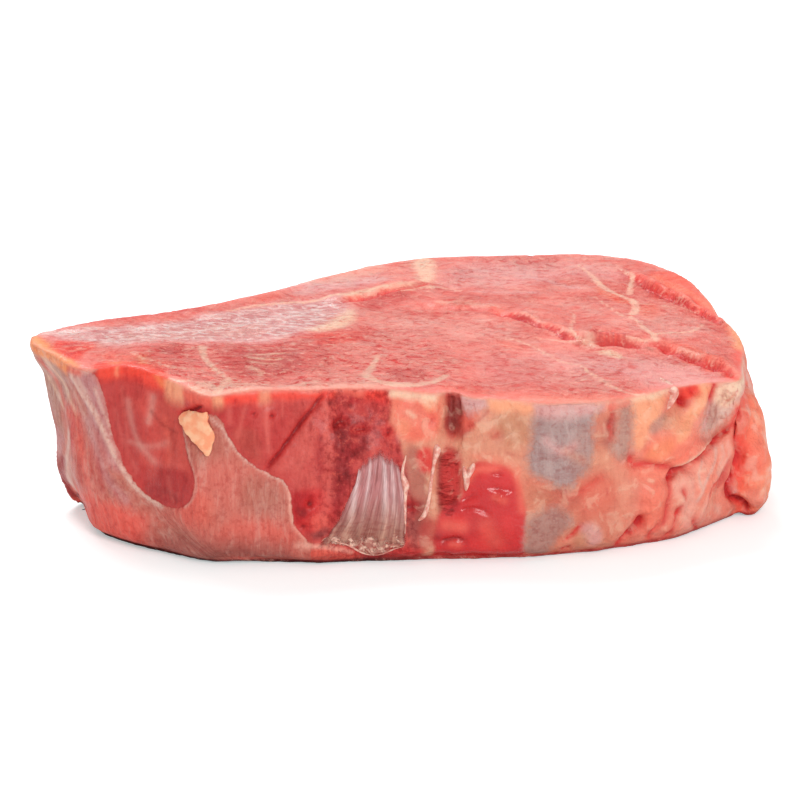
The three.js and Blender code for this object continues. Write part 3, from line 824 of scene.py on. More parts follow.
TOP_LINES = [
    ("rose_red", 0.75, 1.3, [(-77, -12.6), (-70.3, -9), (-63.8, -5.7), (-55, -1.5), (-47, 2)]),
    # The white streaks and darker gaps in the sheath on the left are a painted reflection of the sky.
    ("painted_sheen_white", 0.75, 0.9, [(-69.7, -16.7), (-63.2, -13.3), (-56.7, -10.3), (-50.2, -7)]),
    ("painted_sheen_white", 0.7, 0.8, [(-66.2, -22.7), (-60.2, -20), (-54, -17.3)]),
    ("painted_sheen_white", 0.7, 0.9, [(-58.8, -14.4), (-49.8, -13.2), (-41, -10)]),
    ("painted_sheen_white", 0.6, 0.9, [(-80, -17.4), (-74, -15.4), (-68, -12.4)]),
    ("painted_sheen_white", 0.6, 1.0, [(-46, -4), (-36, 2.5), (-27, 9.4)]),
    ("painted_sheen_white", 0.6, 1.0, [(-38, -8), (-30, -2), (-22, 5)]),
    ("cream_rose", 0.6, 0.5, [(-74.6, -25.4), (-71.4, -24), (-68.4, -25.4)]),
    ("cream_rose", 0.5, 0.5, [(-73.4, -29), (-70.6, -27.4)]),
    ("blood", 0.5, 0.6, [(-68.4, -21), (-66.4, -23.6)]),
    ("rose_red", 0.6, 0.7, [(-69.4, -16), (-66.6, -15.4)]),
    ("rose_red", 0.5, 0.7, [(-62.4, -14.6), (-58, -13)]),
    ("rose_red", 0.45, 0.7, [(-53, -11.4), (-49.6, -10.8)]),
    ("painted_sheen_gap", 0.5, 1.0, [(-62, -17.6), (-52, -15), (-44, -14.4)]),
    ("painted_sheen_gap", 0.5, 1.0, [(-47, -8.6), (-38, -4.6), (-30, 1.4)]),
    ("painted_sheen_gap", 0.45, 1.0, [(-36, 4.6), (-27, 9), (-20, 12.6)]),
    ("rose_red", 0.6, 1.2, [(-42, -24.2), (-33.8, -20.3), (-22.8, -18.2), (-16.2, -14.3)]),
    ("salmon", 0.45, 1.4, [(-34, 9), (-29, 17), (-24, 24)]),
    ("salmon", 0.4, 1.8, [(-19, 31), (-15, 40), (-10, 46)]),
    ("rose_red", 0.5, 1.2, [(-11, 27.5), (-8.5, 27)]),
    ("blood", 0.35, 0.5, [(-57.6, -41), (-56.6, -45)]),
    ("orange", 0.5, 1.0, [(-57, -33), (-56, -41)]),
    ("cream", 0.85, 0.5, [(-33.6, -29), (-30.5, -29.4), (-26, -28)]),
    ("cream", 0.85, 0.5, [(-33.8, -32.2), (-30.8, -32.5), (-26.6, -32.2)]),
    ("cream", 0.75, 0.5, [(-33.3, -35.3), (-29.8, -35), (-27, -36.2)]),
    ("cream", 0.6, 0.5, [(-32.7, -38.7), (-30.8, -41.3), (-30.2, -43.8)]),
    ("cream", 0.5, 0.4, [(-33, -40.8), (-31.7, -39.7)]),
    ("cream_rose", 0.65, 2.6, [(-44, -54), (-30, -53.5), (-18, -51), (-6, -48)]),
    ("cream_rose", 0.6, 1.3, [(26, -50.5), (40, -49.5), (50, -46.5), (58, -41)]),
    ("salmon", 0.5, 2.4, [(10, -46), (25, -49.5), (40, -48), (52, -43)]),
    ("cream_rose", 0.45, 1.2, [(28, 3), (33, -3), (38, -9), (41.5, -12.5)]),
    # Blood, scarlet and dark blood lines along the feet of the steps are painted shade, partly the red of the
    # torn tissue.
    ("blood", 0.6, 0.8, [(57, 34), (58.7, 28.5), (60.8, 26.2)]),
    ("blood", 0.75, 0.7, [(62.6, 22.6), (64.7, 20.2), (67.3, 18.5), (70.2, 13.2)]),
    ("scarlet", 0.7, 0.8, [(70.6, 13), (72, 8), (72.8, 4)]),
    ("blood", 0.9, 0.7, [(58.4, -13.6), (59.8, -15.6), (62.6, -18.6), (64.8, -20.6)]),
    ("blood", 0.9, 0.5, [(43.6, -12.2), (46.7, -12.2), (48.8, -12.6)]),
    ("peach", 0.85, 1.6, [(75.4, 6), (76, -2), (75.8, -12)]),
    ("blood", 0.8, 0.6, [(30, 0.9), (33, -2.1), (35.7, -5.8), (37.7, -9.3)]),
    ("cream", 0.6, 0.5, [(50.6, -11.4), (53.3, -11.3), (56.6, -11.6)]),
    ("scarlet", 0.7, 0.8, [(64.8, -21), (66.8, -23.7), (69, -24.7), (70.3, -24.7)]),
    ("ember", 0.8, 1.4, [(70, -25), (71.6, -27), (73.8, -30)]),
    ("dark_blood", 0.4, 0.4, [(49.3, -13), (53.3, -13.2), (56, -14.5)]),
    ("rose_red", 0.7, 0.5, [(42.7, -19.7), (43.2, -22.7), (45.2, -23)]),
    ("rose_red", 0.7, 0.5, [(44.5, -34.3), (46.8, -32.2), (49.2, -28)]),
    ("rose_red", 0.6, 0.6, [(32.8, 14.2), (34.7, 15.8), (36.5, 15.7)]),
    ("rose_red", 0.5, 0.9, [(8.7, 9.3), (14.2, 9.3), (22.5, 8.3)]),
    ("pale_rose", 0.6, 0.9, [(8.8, 32.5), (15, 34.8), (20.7, 31.5)]),
    ("haze", 0.7, 1.1, [(18.7, 44.3), (28, 42.2), (35.3, 34.3), (41.8, 29.7)]),
    ("haze", 0.6, 1.1, [(17.2, 24.7), (25.2, 24.2), (31.3, 24.3)]),
    ("rose_red", 0.4, 1.0, [(8.8, 27.5), (18.2, 27.8), (23.7, 28.2)]),
    ("cream_rose", 0.6, 0.8, [(8.7, 15.6), (13.3, 15.2), (18, 13.4), (22, 11.8)]),
    ("deep_rose", 0.6, 0.5, [(49.6, -21), (50.6, -25), (51, -29)]),
    ("deep_rose", 0.6, 0.5, [(47.6, -31), (46, -32.6), (45, -34)]),
    ("orange", 0.8, 1.2, [(76.4, 4), (77, -4), (76.8, -10)]),
]
bare.areas(TOP_AREAS, tx, ty, upper)
bare.lines(TOP_LINES, x, y, upper)
lobe_wall = torn * rise(x, 50, 54) * rise(y, 0, 4)
on_ledge = np.sqrt(upper)
bare.wash("torn_rose", 0.9 * torn * on_ledge)
bare.wash("ember", 0.7 * torn * on_ledge * (0.2 - tufts))
bare.wash("ember", 0.4 * lobe_wall * on_ledge)
bare.wash("cream_rose", 0.7 * crest * (1 - lobe_wall) * upper * (0.4 + 1.2 * tufts))
# Painted shade at the foot of each torn wall, partly the raw red of the torn tissue.
bare.wash("scarlet", 0.85 * red_and_shaded_foot * on_ledge)
bare.wash("blood", 0.5 * red_and_shaded_foot * on_ledge * (0.6 + tufts))
# Painted shade in the groove at the foot of each step.
bare.wash("scarlet", 0.9 * rise(groove_shade, 0.15, 0.6) * upper)
TORN_RIBS = [
    # place along the steak, half the width
    (43.2, 0.7), (44.7, 0.45), (46.2, 0.4), (47.4, 0.5), (48.6, 0.4), (49.9, 0.5)]
rib_height = rise(y, -13.6, -12.6) * (1 - rise(y, -10.6, -8.8))
for rib_x, half in TORN_RIBS:
    bare.wash("rose_red", 0.85 * np.exp(-(((x - rib_x) / half) ** 2)) * rib_height * upper)
LEDGE_START = [("cream_rose", 0.9, 1.0, [(41, -10), (41, -14), (43.4, -14.6), (43.4, -11)])]
bare.areas(LEDGE_START, x, y, upper)
# Deeper painted shade at the bottom of the groove.
bare.wash("blood", 0.85 * rise(groove_shade, 0.5, 0.9) * upper)
print("mean colour of the upper cut:", np.round(bare.paint[upper > 0.9].mean(0), 3))

# %% [markdown]
# The front side next, in the same way. These are the bare tissues: dark muscle on the left, mottled
# muscle in the middle, a column of fat, the red swelling, and the long stretch of fat with its folds.

# %% Washes of the front
bare.wash("muscle", side)
bare.wash("muscle_dark", muscle * (0.3 * middling + 0.25 * fine))
bare.wash("muscle_pale", muscle * (-0.25 * middling + 0.15))
bare.wash("straw", fat)
bare.wash("fat_orange", fat * (0.25 + 0.5 * middling) * rise(x, 22, 30))
bare.wash("fat_pink", fat * rise(x, 42, 54) * 0.8)
bare.wash("scarlet", wet_red * 0.85)
bare.wash("blood", wet_red * (0.36 + 0.4 * fine))
FRONT_AREAS = [
    # left window
    ("film_red", 0.35, 2.0, [(-62, 34), (-48, 34), (-45, 27), (-44.5, 14), (-52, 14), (-58, 22)]),
    ("muscle_brown", 0.5, 2.0, [(-54, 36), (-48, 34), (-45, 27), (-44.5, 21), (-48, 21), (-52, 26)]),
    ("muscle_dark", 0.4, 1.6, [(-62.5, 33), (-57, 34), (-55, 27), (-56.5, 20), (-59.5, 20), (-62, 25)]),
    ("muscle_dark", 0.7, 1.4, [(-52, 21.5), (-46, 22), (-44.4, 16), (-48.5, 12.4), (-55, 12.6), (-54, 18)]),
    ("blood", 0.35, 1.4, [(-59.4, 31), (-57.2, 31), (-57, 26), (-59, 25)]),
    ("muscle", 0.6, 1.0, [(-57.4, 20), (-54, 20.5), (-54.2, 15.5), (-57, 15)]),
    # panels under the rim
    ("muscle_brown", 0.7, 1.2, [(-36.4, 31), (-30.4, 31), (-29.8, 23.5), (-33, 24.5), (-36, 27.5)]),
    ("muscle", 0.7, 0.8, [(-28, 36), (-23, 36), (-24, 31), (-28.4, 25)]),
    ("muscle_pale", 0.65, 1.6, [(-21, 32), (-19, 29.5), (-18.8, 25), (-21, 22.4), (-27.4, 20.8), (-25, 25)]),
    ("muscle_pale", 0.4, 1.6, [(-24, 22), (-18, 22), (-18, 17), (-23, 17)]),
    ("muscle_dark", 0.5, 0.9, [(-18.4, 29), (-16.8, 29), (-16.4, 20), (-18.6, 20)]),
    # mottled muscle
    ("muscle_dark", 0.8, 1.6, [(-15, 33.5), (-7, 33), (-5.8, 28), (-7.4, 24.5), (-12, 22.6), (-14.6, 26)]),
    ("muscle_dark", 0.85, 1.0, [(-14.6, 27), (-10.6, 25), (-10.6, 20), (-13, 14.5), (-15.4, 9.5), (-15, 18)]),
    ("blood", 0.4, 1.0, [(-14.8, 14), (-12.8, 13.6), (-14.4, 9), (-16, 9)]),
    ("dark_blood", 0.4, 1.2, [(-14.4, 31.4), (-11, 31), (-9.6, 28), (-12, 26.4), (-14.4, 28)]),
    ("dark_blood", 0.35, 0.9, [(-9, 28), (-6.4, 28.4), (-6.6, 25.6), (-9, 25)]),
    ("dark_blood", 0.35, 0.9, [(-14.4, 25), (-12, 24.6), (-11.6, 20), (-13.6, 17), (-14.8, 20)]),
    ("muscle", 0.7, 1.2, [(-11.5, 35.5), (-4, 36), (-4.5, 31.5), (-11, 32)]),
    ("muscle", 0.7, 1.0, [(-7, 31), (-3.2, 31.5), (-1, 26), (-0.2, 21.5), (-3, 24), (-6, 27)]),
    ("scarlet", 0.55, 1.2, [(-24, 15.5), (-20.5, 18), (-15.8, 17.5), (-15.4, 11), (-20, 8), (-23, 11)]),
    ("blood", 0.8, 0.8, [(-24.2, 17), (-19, 17.4), (-18.6, 14), (-20.6, 12.4), (-22.6, 9.6), (-23.8, 12)]),
    ("dark_blood", 0.6, 0.7, [(-23.4, 13.8), (-21, 13.8), (-20.2, 12.4), (-22.4, 11.4)]),
    ("salmon", 0.4, 1.0, [(-20, 11.6), (-16, 12), (-16, 8.6), (-19.4, 8.6)]),
    ("plum", 0.75, 0.8, [(-20, 8.4), (-15.4, 9), (-15.6, 7.2), (-18.6, 6.2)]),
    ("salmon", 0.7, 1.4, [(-23, 5), (-14, 4.8), (-9, 2.6), (-9, 0.6), (-23, 0.6)]),
    ("scarlet", 0.5, 0.8, [(-13.6, 4.4), (-9, 3.4), (-8, 2), (-13.6, 2)]),
    ("scarlet", 0.5, 0.8, [(-3, 3), (2, 4.4), (5, 4), (5, 1.6), (-3, 1.4)]),
    ("blood", 0.85, 0.5, [(-11.2, 36), (-8.8, 36), (-9, 34.6), (-11, 34.4)]),
    ("scarlet", 0.7, 0.9, [(-8, 37.6), (-2.8, 37.6), (-2.6, 34), (-6.4, 34)]),
    # column of fat and what lies under it
    ("salmon", 0.85, 1.4, [(-3, 36.6), (7.8, 36.6), (8.4, 31), (7, 26.6), (-0.6, 26.6), (-2, 31)]),
    ("glow", 0.3, 1.4, [(-3, 36.6), (7.8, 36.6), (8.4, 31), (7, 26.6), (-0.6, 26.6), (-2, 31)]),
    ("fat_pink", 0.5, 1.4, [(-2, 34.5), (3, 34.5), (6, 32), (7.6, 29), (3, 29), (-1.4, 31)]),
    ("peach", 0.6, 0.8, [(3.4, 35.4), (7.4, 36), (7.8, 33.2), (5.4, 32.4)]),
    ("peach", 0.45, 0.8, [(-1.4, 31), (1.6, 30.6), (1.4, 28), (-0.8, 28)]),
    ("mottle", 0.7, 1.2, [(0, 25.4), (4.4, 25.8), (5.6, 18), (6.2, 4), (0.4, 4)]),
    ("scarlet", 0.85, 0.8, [(3.2, 25.2), (7, 25.6), (7, 19.6), (3.4, 20.4)]),
    ("plum", 0.85, 0.8, [(1.4, 14.6), (4.8, 14.4), (5, 11.4), (1.6, 11.4)]),
    ("plum", 0.6, 0.9, [(0.8, 11.6), (5, 11.4), (4.6, 7), (0.8, 6)]),
    ("muscle", 0.7, 1.2, [(3.4, 10), (7.8, 11), (8, 4), (3.6, 3.4)]),
    ("blood", 0.9, 0.8, [(7.4, 25), (13, 25.4), (13.2, 12), (7.4, 10.6)]),
    ("scarlet", 0.3, 1.0, [(8.4, 24), (12, 24.4), (12, 13), (8.4, 12)]),
    ("muscle", 0.8, 1.0, [(12, 33), (15.6, 32), (14.6, 28), (11.8, 26.6)]),
    ("salmon", 0.6, 1.0, [(12.4, 33.6), (17.4, 33), (15, 29.4), (12.2, 29)]),
    # Painted shade in the notch's hollow, partly its dark muscle.
    ("muscle_dark", 0.75, 0.8, [
        (8.6, 38.6), (13, 38.6), (13.4, 34.6), (12.4, 31.4), (12.8, 28.4), (10.6, 26.8), (9, 28.4),
        (9.7, 31.6), (8.9, 34.8)]),
    # pale fat
    ("peach", 0.75, 1.6, [(18.6, 36), (28.4, 36), (28, 32.6), (19.6, 32.6)]),
    ("olive_fat", 0.8, 1.6, [(19.4, 32.6), (27.8, 32.6), (27.4, 25.6), (21, 25.6)]),
    ("straw", 0.8, 1.6, [(14, 28.6), (19.6, 30), (20, 24), (13.8, 23.8)]),
    ("fat_orange", 0.5, 1.0, [(18.6, 29.6), (21.4, 29.4), (22, 27), (19, 27)]),
    ("salmon", 0.4, 1.2, [(13.6, 24.4), (20, 24.4), (25.6, 21.6), (25.6, 19.4), (17, 22.4)]),
    ("film_brown", 0.9, 1.4, [(26.6, 16.6), (37, 16.6), (40, 12.6), (30, 12)]),
    ("fat_orange", 0.7, 1.6, [
        (25.4, 20), (31, 18.6), (33, 16.4), (37, 16), (38, 10), (30, 12.4), (26.6, 10)]),
    ("olive_fat", 0.35, 1.6, [(26, 18), (33, 15), (32, 12.6), (27, 11)]),
    ("fat_orange", 1.0, 2.0, [(37.4, 18.6), (44.6, 20), (47, 10), (45, 3), (43.4, 8), (38, 8.4)]),
    ("salmon", 0.35, 2.0, [(38, 17), (46, 19), (47, 11), (40, 10)]),
    ("silver_pink", 0.75, 1.0, [(38, 7.4), (41, 8.4), (43.2, 6.4), (43.4, 3), (40.6, 2)]),
    ("olive_fat", 0.5, 1.0, [(36.6, 5), (40.4, 6), (40, 2.6), (37, 2)]),
    ("straw", 0.5, 1.4, [(42, 30), (45, 30), (45, 20), (41.6, 22)]),
    ("mottle", 0.35, 1.0, [(42.4, 31), (46, 31), (45.6, 27), (44.6, 24), (42, 25)]),
    # folded fat
    ("peach", 0.85, 1.0, [
        (47.9, 35), (57.1, 35), (57.1, 29.6), (53.6, 27.4), (52.2, 22.8), (49.5, 23), (49.4, 31)]),
    ("cream", 0.4, 1.0, [(50, 35), (57, 35), (57, 33), (50, 33)]),
    ("film_grey", 0.75, 0.7, [(55.6, 29.4), (58.2, 28.9), (57, 27.2), (54.2, 25.4), (53, 27)]),
    ("olive_fat", 0.45, 0.8, [(57.6, 30), (61.8, 29.8), (61.1, 26.6), (57.6, 26), (55.9, 26.8)]),
    ("peach", 0.6, 1.2, [(60.5, 24), (62.6, 27), (61, 28.5), (58.5, 27), (58.4, 24)]),
    ("glow", 0.75, 1.0, [
        (52.2, 23.9), (57, 26.4), (60.4, 24.1), (64.5, 24.8), (64.2, 20.4), (61.6, 18.2), (57.8, 17.8),
        (52.4, 20.2)]),
    ("orange", 0.35, 1.2, [(53, 23), (57, 25), (60, 23.4), (58, 20), (53, 20.6)]),
    ("ember", 0.95, 0.5, [(60.3, 35.6), (64.7, 35.6), (64.4, 31.8), (61.8, 30.7), (60.3, 31)]),
    ("blood", 0.5, 0.6, [(60.3, 33.4), (62.2, 33), (62.2, 30.6), (60.2, 30.8)]),
    ("peach", 0.9, 0.7, [
        (64.8, 35.4), (67.2, 35.4), (66.4, 31), (65, 28.2), (62.8, 25.4), (60.8, 22.8), (59.4, 23),
        (61, 26.4), (62.6, 29), (64, 31.4)]),
    ("ember", 0.85, 0.4, [(66.9, 35), (68.4, 35), (67.6, 31.1), (66.6, 30.3), (66.5, 32.4)]),
    ("salmon", 0.5, 1.5, [(60, 18), (66, 20), (66, 23.6), (61, 21.6)]),
    ("cream_rose", 0.3, 1.2, [(60, 16), (66, 18.4), (71.6, 21.6), (72, 17), (68, 12), (63, 12)]),
    ("rose_red", 0.45, 1.0, [(55.4, 9), (57.4, 12), (58, 8), (57, 3), (55, 3)]),
    ("rose_red", 0.4, 0.8, [(61.6, 9), (63, 8), (63.6, 3), (62, 2)]),
    ("straw", 0.2, 2.0, [(40, 20), (51, 19), (51, 6), (46, 3), (40, 8)]),
    ("glow", 0.6, 1.4, [(49, 18.6), (58.4, 17.6), (58.6, 15), (51.5, 15.6)]),
    ("salmon", 0.45, 1.0, [(51.5, 16), (58.4, 14.9), (58, 8), (56.4, 3.2), (51.9, 2.8), (51.1, 9)]),
    ("glow", 0.5, 1.2, [(52.4, 14), (57.6, 13.6), (57, 6), (52.6, 5)]),
    ("cream_rose", 0.65, 1.0, [
        (58.8, 15), (63, 14.4), (64.6, 10.9), (64.9, 6), (63.2, 2.2), (61.4, 4), (60.1, 10), (58.9, 11.6)]),
    ("glow", 0.5, 1.0, [(65, 17), (70, 17.4), (70, 13), (66, 8), (64.6, 10)]),
    ("cream_rose", 0.5, 0.8, [(66, 17.6), (68.4, 17.4), (66.6, 13), (65, 10.6), (65, 13.4)]),
    ("fat_pink", 0.7, 1.0, [(66, 7.1), (70.8, 5.4), (75.4, 1.4), (70.9, 0.8), (65, 1.8)]),
    ("cream_rose", 0.65, 0.6, [(68.8, 6), (70.9, 4.4), (70.9, 2.2), (69, 3.2)]),
    ("rose_red", 0.75, 0.8, [
        (72.8, 16.2), (72.4, 10.2), (70.9, 10.2), (69.1, 7.9), (69, 10.5), (70.8, 13.8)]),
    ("lilac", 0.5, 0.5, [(72.4, 9.8), (73.6, 9), (75.6, 5.2), (74.8, 4.4), (72.9, 6.2)]),
]
# Dark and red lines that follow the creases are painted shade in them; cream and white lines along the fold
# ridges are painted highlights.
FRONT_LINES = [
    ("muscle_pale", 0.6, 0.7, [(-54.6, 35.4), (-54.4, 29.4)]),
    ("muscle_pale", 0.4, 0.9, [(-57, 23), (-52, 21.4), (-47.6, 22)]),
    ("film_white", 0.3, 0.8, [(-53.6, 35), (-53.9, 32), (-54.6, 29.8)]),
    ("film_white", 0.25, 0.8, [(-59.2, 33.4), (-58.4, 28), (-56.6, 24), (-53.6, 21.4)]),
    ("film_white", 0.2, 0.7, [(-58.8, 24.4), (-54.4, 24.2), (-50.4, 26.2)]),
    ("salmon", 0.35, 0.6, [(-50.8, 31), (-50, 26), (-50.6, 22)]),
    ("dark_blood", 0.35, 0.8, [(-50.8, 16), (-48.6, 14.4)]),
    ("muscle_pale", 0.4, 0.6, [(-62.2, 31), (-60.6, 24), (-57.6, 18.6)]),
    ("muscle_pale", 0.35, 0.5, [(-60.6, 36), (-60, 30), (-59.4, 24)]),
    ("muscle_pale", 0.35, 0.5, [(-50.4, 19), (-49.6, 14)]),
    ("dark_blood", 0.4, 0.4, [(-54, 32), (-51.6, 29.6), (-48.4, 28.6)]),
    ("muscle_dark", 0.7, 0.45, [(-45.6, 24.4), (-44.4, 20.4)]),
    ("muscle_pale", 0.75, 0.5, [(-29, 38.4), (-28.9, 32), (-28.6, 26)]),
    ("muscle_pale", 0.5, 0.5, [(-33, 36.8), (-34.4, 32), (-35, 29)]),
    ("muscle_pale", 0.5, 0.6, [(-36.9, 37), (-36.8, 32)]),
    ("muscle_pale", 0.4, 0.4, [(-25.4, 37), (-25.6, 33)]),
    # Painted shade in the crease under the rim.
    ("dark_blood", 0.75, 0.45, [
        (-17, 36.6), (-19, 34.5), (-22, 31), (-24.5, 27.5), (-27, 24), (-28.8, 21.9)]),
    ("muscle_pale", 0.75, 1.0, [(-16.4, 35), (-16.1, 31), (-15.8, 27), (-15.6, 23)]),
    ("muscle_pale", 0.5, 1.2, [(-15.8, 20), (-16, 15), (-17, 11)]),
    ("muscle_pale", 0.7, 0.45, [(-19.6, 33), (-18.8, 31), (-18.5, 28.6)]),
    ("muscle_pale", 0.7, 0.6, [(-20.4, 25.4), (-22.4, 22)]),
    # Painted shade in the creases of the mottled muscle.
    ("dark_blood", 0.7, 0.6, [(-14.6, 30.6), (-13, 31.8), (-12, 31)]),
    ("dark_blood", 0.65, 0.5, [(-10.4, 29.2), (-8.4, 29.6), (-7.6, 29.2)]),
    ("dark_blood", 0.45, 0.7, [(-12.6, 25.6), (-10.6, 24.4), (-8.4, 24.8)]),
    ("dark_blood", 0.5, 0.8, [(-12.4, 20.6), (-11.4, 19.4)]),
    ("dark_blood", 0.4, 0.6, [(-12.6, 34.6), (-11, 34)]),
    ("dark_blood", 0.5, 0.45, [(-15.6, 35.2), (-14.4, 35)]),
    ("blood", 0.8, 0.5, [(-3.2, 28.9), (-2.8, 28.3)]),
    ("muscle_pale", 0.5, 0.4, [(-6.4, 26.6), (-6, 24.6)]),
    ("salmon", 0.6, 0.5, [(-0.6, 36.6), (0.6, 34.4), (1.4, 33)]),
    ("cream", 0.6, 0.5, [(1.2, 32.6), (2.6, 31.6)]),
    ("cream", 0.5, 0.5, [(4.4, 34.6), (6, 33.8)]),
    # Painted shade in the crease at the notch.
    ("dark_blood", 0.5, 0.5, [(10.5, 36), (10.6, 32), (10.8, 28.2)]),
    ("blood", 0.6, 0.35, [(12, 37), (11.9, 33), (12.1, 30)]),
    ("scarlet", 0.3, 0.5, [(9.6, 37.4), (10, 34.6)]),
    # Painted highlight along the rolled lower edge of the membrane, over its pale tissue.
    ("cream_rose", 0.8, 0.55, [(-24.6, 4.6), (-21, 5), (-17.6, 5.1), (-14.8, 4.4), (-11, 3)]),
    ("cream", 0.5, 0.35, [(-22.6, 5.4), (-19.6, 5.5)]),
    ("blood", 0.45, 0.4, [(18.4, 33), (17.4, 31.8), (14.6, 30)]),
    ("blood", 0.35, 0.4, [(19.4, 27.6), (20.6, 28.6)]),
    ("blood", 0.3, 0.4, [(22.2, 24.6), (23.8, 23.8)]),
    ("dark_blood", 0.5, 0.8, [(2, 14.4), (2, 12)]),
    ("dark_blood", 0.35, 0.6, [(8, 24), (8, 18), (8.2, 12)]),
    ("salmon", 0.7, 0.9, [(14, 18.6), (15.4, 20.6), (17, 21.4), (20, 21)]),
    ("salmon", 0.5, 1.0, [(24.4, 20), (25.6, 16), (25.8, 12)]),
    # Painted shade in the creases of the red swelling, here and in the next lines, over its own blood red.
    ("blood", 0.85, 0.45, [(18.5, 17.3), (20, 17.2), (21.6, 16.6), (23.6, 16.7)]),
    ("blood", 0.6, 0.4, [(19.4, 20.3), (21.2, 20)]),
    ("blood", 0.7, 0.5, [(13.2, 14.4), (15.6, 15.6)]),
    ("blood", 0.75, 0.6, [(13, 12.4), (16, 12.9), (18.6, 11.7)]),
    ("blood", 0.75, 0.9, [(7.4, 5.8), (10, 5.6), (12.6, 6), (13.6, 5)]),
    ("dark_blood", 0.4, 0.8, [(7.6, 6.4), (9, 4.8)]),
    ("salmon", 0.55, 1.4, [(9.4, 9), (13, 8.6)]),
    ("salmon", 0.45, 0.9, [(20, 15.2), (22, 14.2)]),
    ("salmon", 0.5, 0.8, [(10.8, 4.6), (12.2, 4.4)]),
    ("salmon", 0.35, 2.0, [(18, 9), (20, 5)]),
    ("dark_blood", 0.55, 0.7, [(44.6, 30), (44.5, 28.4)]),
    ("plum", 0.5, 0.5, [(45.5, 33), (45.4, 29.6)]),
    ("mottle", 0.5, 1.2, [(44.5, 27.4), (44.4, 24.6)]),
    ("fat_pink", 0.7, 0.9, [(44.6, 34), (48, 34)]),
    # Painted shade in the creases of the folded fat, in this line and the next.
    ("dark_blood", 0.6, 0.7, [(60.6, 31), (61.4, 30.2), (62, 30.2)]),
    ("rose_red", 0.5, 0.5, [(49.2, 21.9), (49.9, 19.3), (51.5, 19.2), (54.4, 18.9), (58.4, 17.5)]),
    ("cream_rose", 0.6, 0.5, [(47.8, 20.4), (49.2, 21.6), (49.6, 23)]),
    # Painted highlights along the ridges of the folds.
    ("cream", 0.75, 0.45, [(59.8, 17.6), (62.2, 18), (64, 18.9), (65.8, 19.8), (66.8, 20.4)]),
    ("cream_rose", 0.75, 0.5, [
        (71.9, 19.1), (72.2, 16.4), (70.2, 13.4), (67.8, 10.9), (66, 7.1), (64.6, 3.2)]),
    ("film_white", 0.7, 0.4, [(69, 19), (69.2, 16), (67.4, 13.9), (65.9, 11.6), (64.8, 8.9)]),
    ("film_white", 0.6, 0.35, [(65.9, 16.8), (65, 14.2), (65.4, 11.8)]),
    ("film_white", 0.5, 0.35, [(70.6, 18.4), (71, 16), (69, 13.2)]),
    # Painted shade in the creases between the folds.
    ("rose_red", 0.5, 0.45, [(58.6, 15), (58.4, 12.6), (57.6, 8.1), (57.1, 4.9)]),
    ("rose_red", 0.7, 0.4, [(61.2, 11.8), (61.9, 10.2)]),
    ("rose_red", 0.6, 0.4, [(60.8, 8.4), (60.1, 6.6), (60.2, 4.9)]),
    ("cream", 0.6, 0.35, [(53.6, 15.8), (54.4, 15.4)]),
    ("muscle", 0.6, 0.3, [(44.3, 14.8), (44.5, 13.8)]),
    ("cream", 0.5, 0.6, [(75.6, 33), (74.6, 30), (74.2, 27.8)]),
    # Painted shade in the crevice beside the hanging fold.
    ("scarlet", 0.8, 0.8, [(74, 26.4), (73.6, 24), (72.8, 22.4)]),
    ("salmon", 0.6, 0.8, [(73.4, 31), (73.2, 28)]),
    ("mottle", 0.5, 1.0, [(66, 22), (68, 20.4), (71, 22.6)]),
    ("dark_blood", 0.5, 1.0, [(59.6, 15.6), (60.4, 16.8), (61.6, 16.2)]),
    ("blood", 0.6, 0.6, [(65.4, 17.7), (67.8, 18.6), (69.2, 19.4)]),
]
bare.areas(FRONT_AREAS, u, w, on_front)
bare.lines(FRONT_LINES, x, z, on_front)

# %% [markdown]
# The veil is the membrane on the left, which is beige at the tip, streaked with lilac and white where it
# is pulled, and salmon over the bulge, and the silverskin patches on the right.

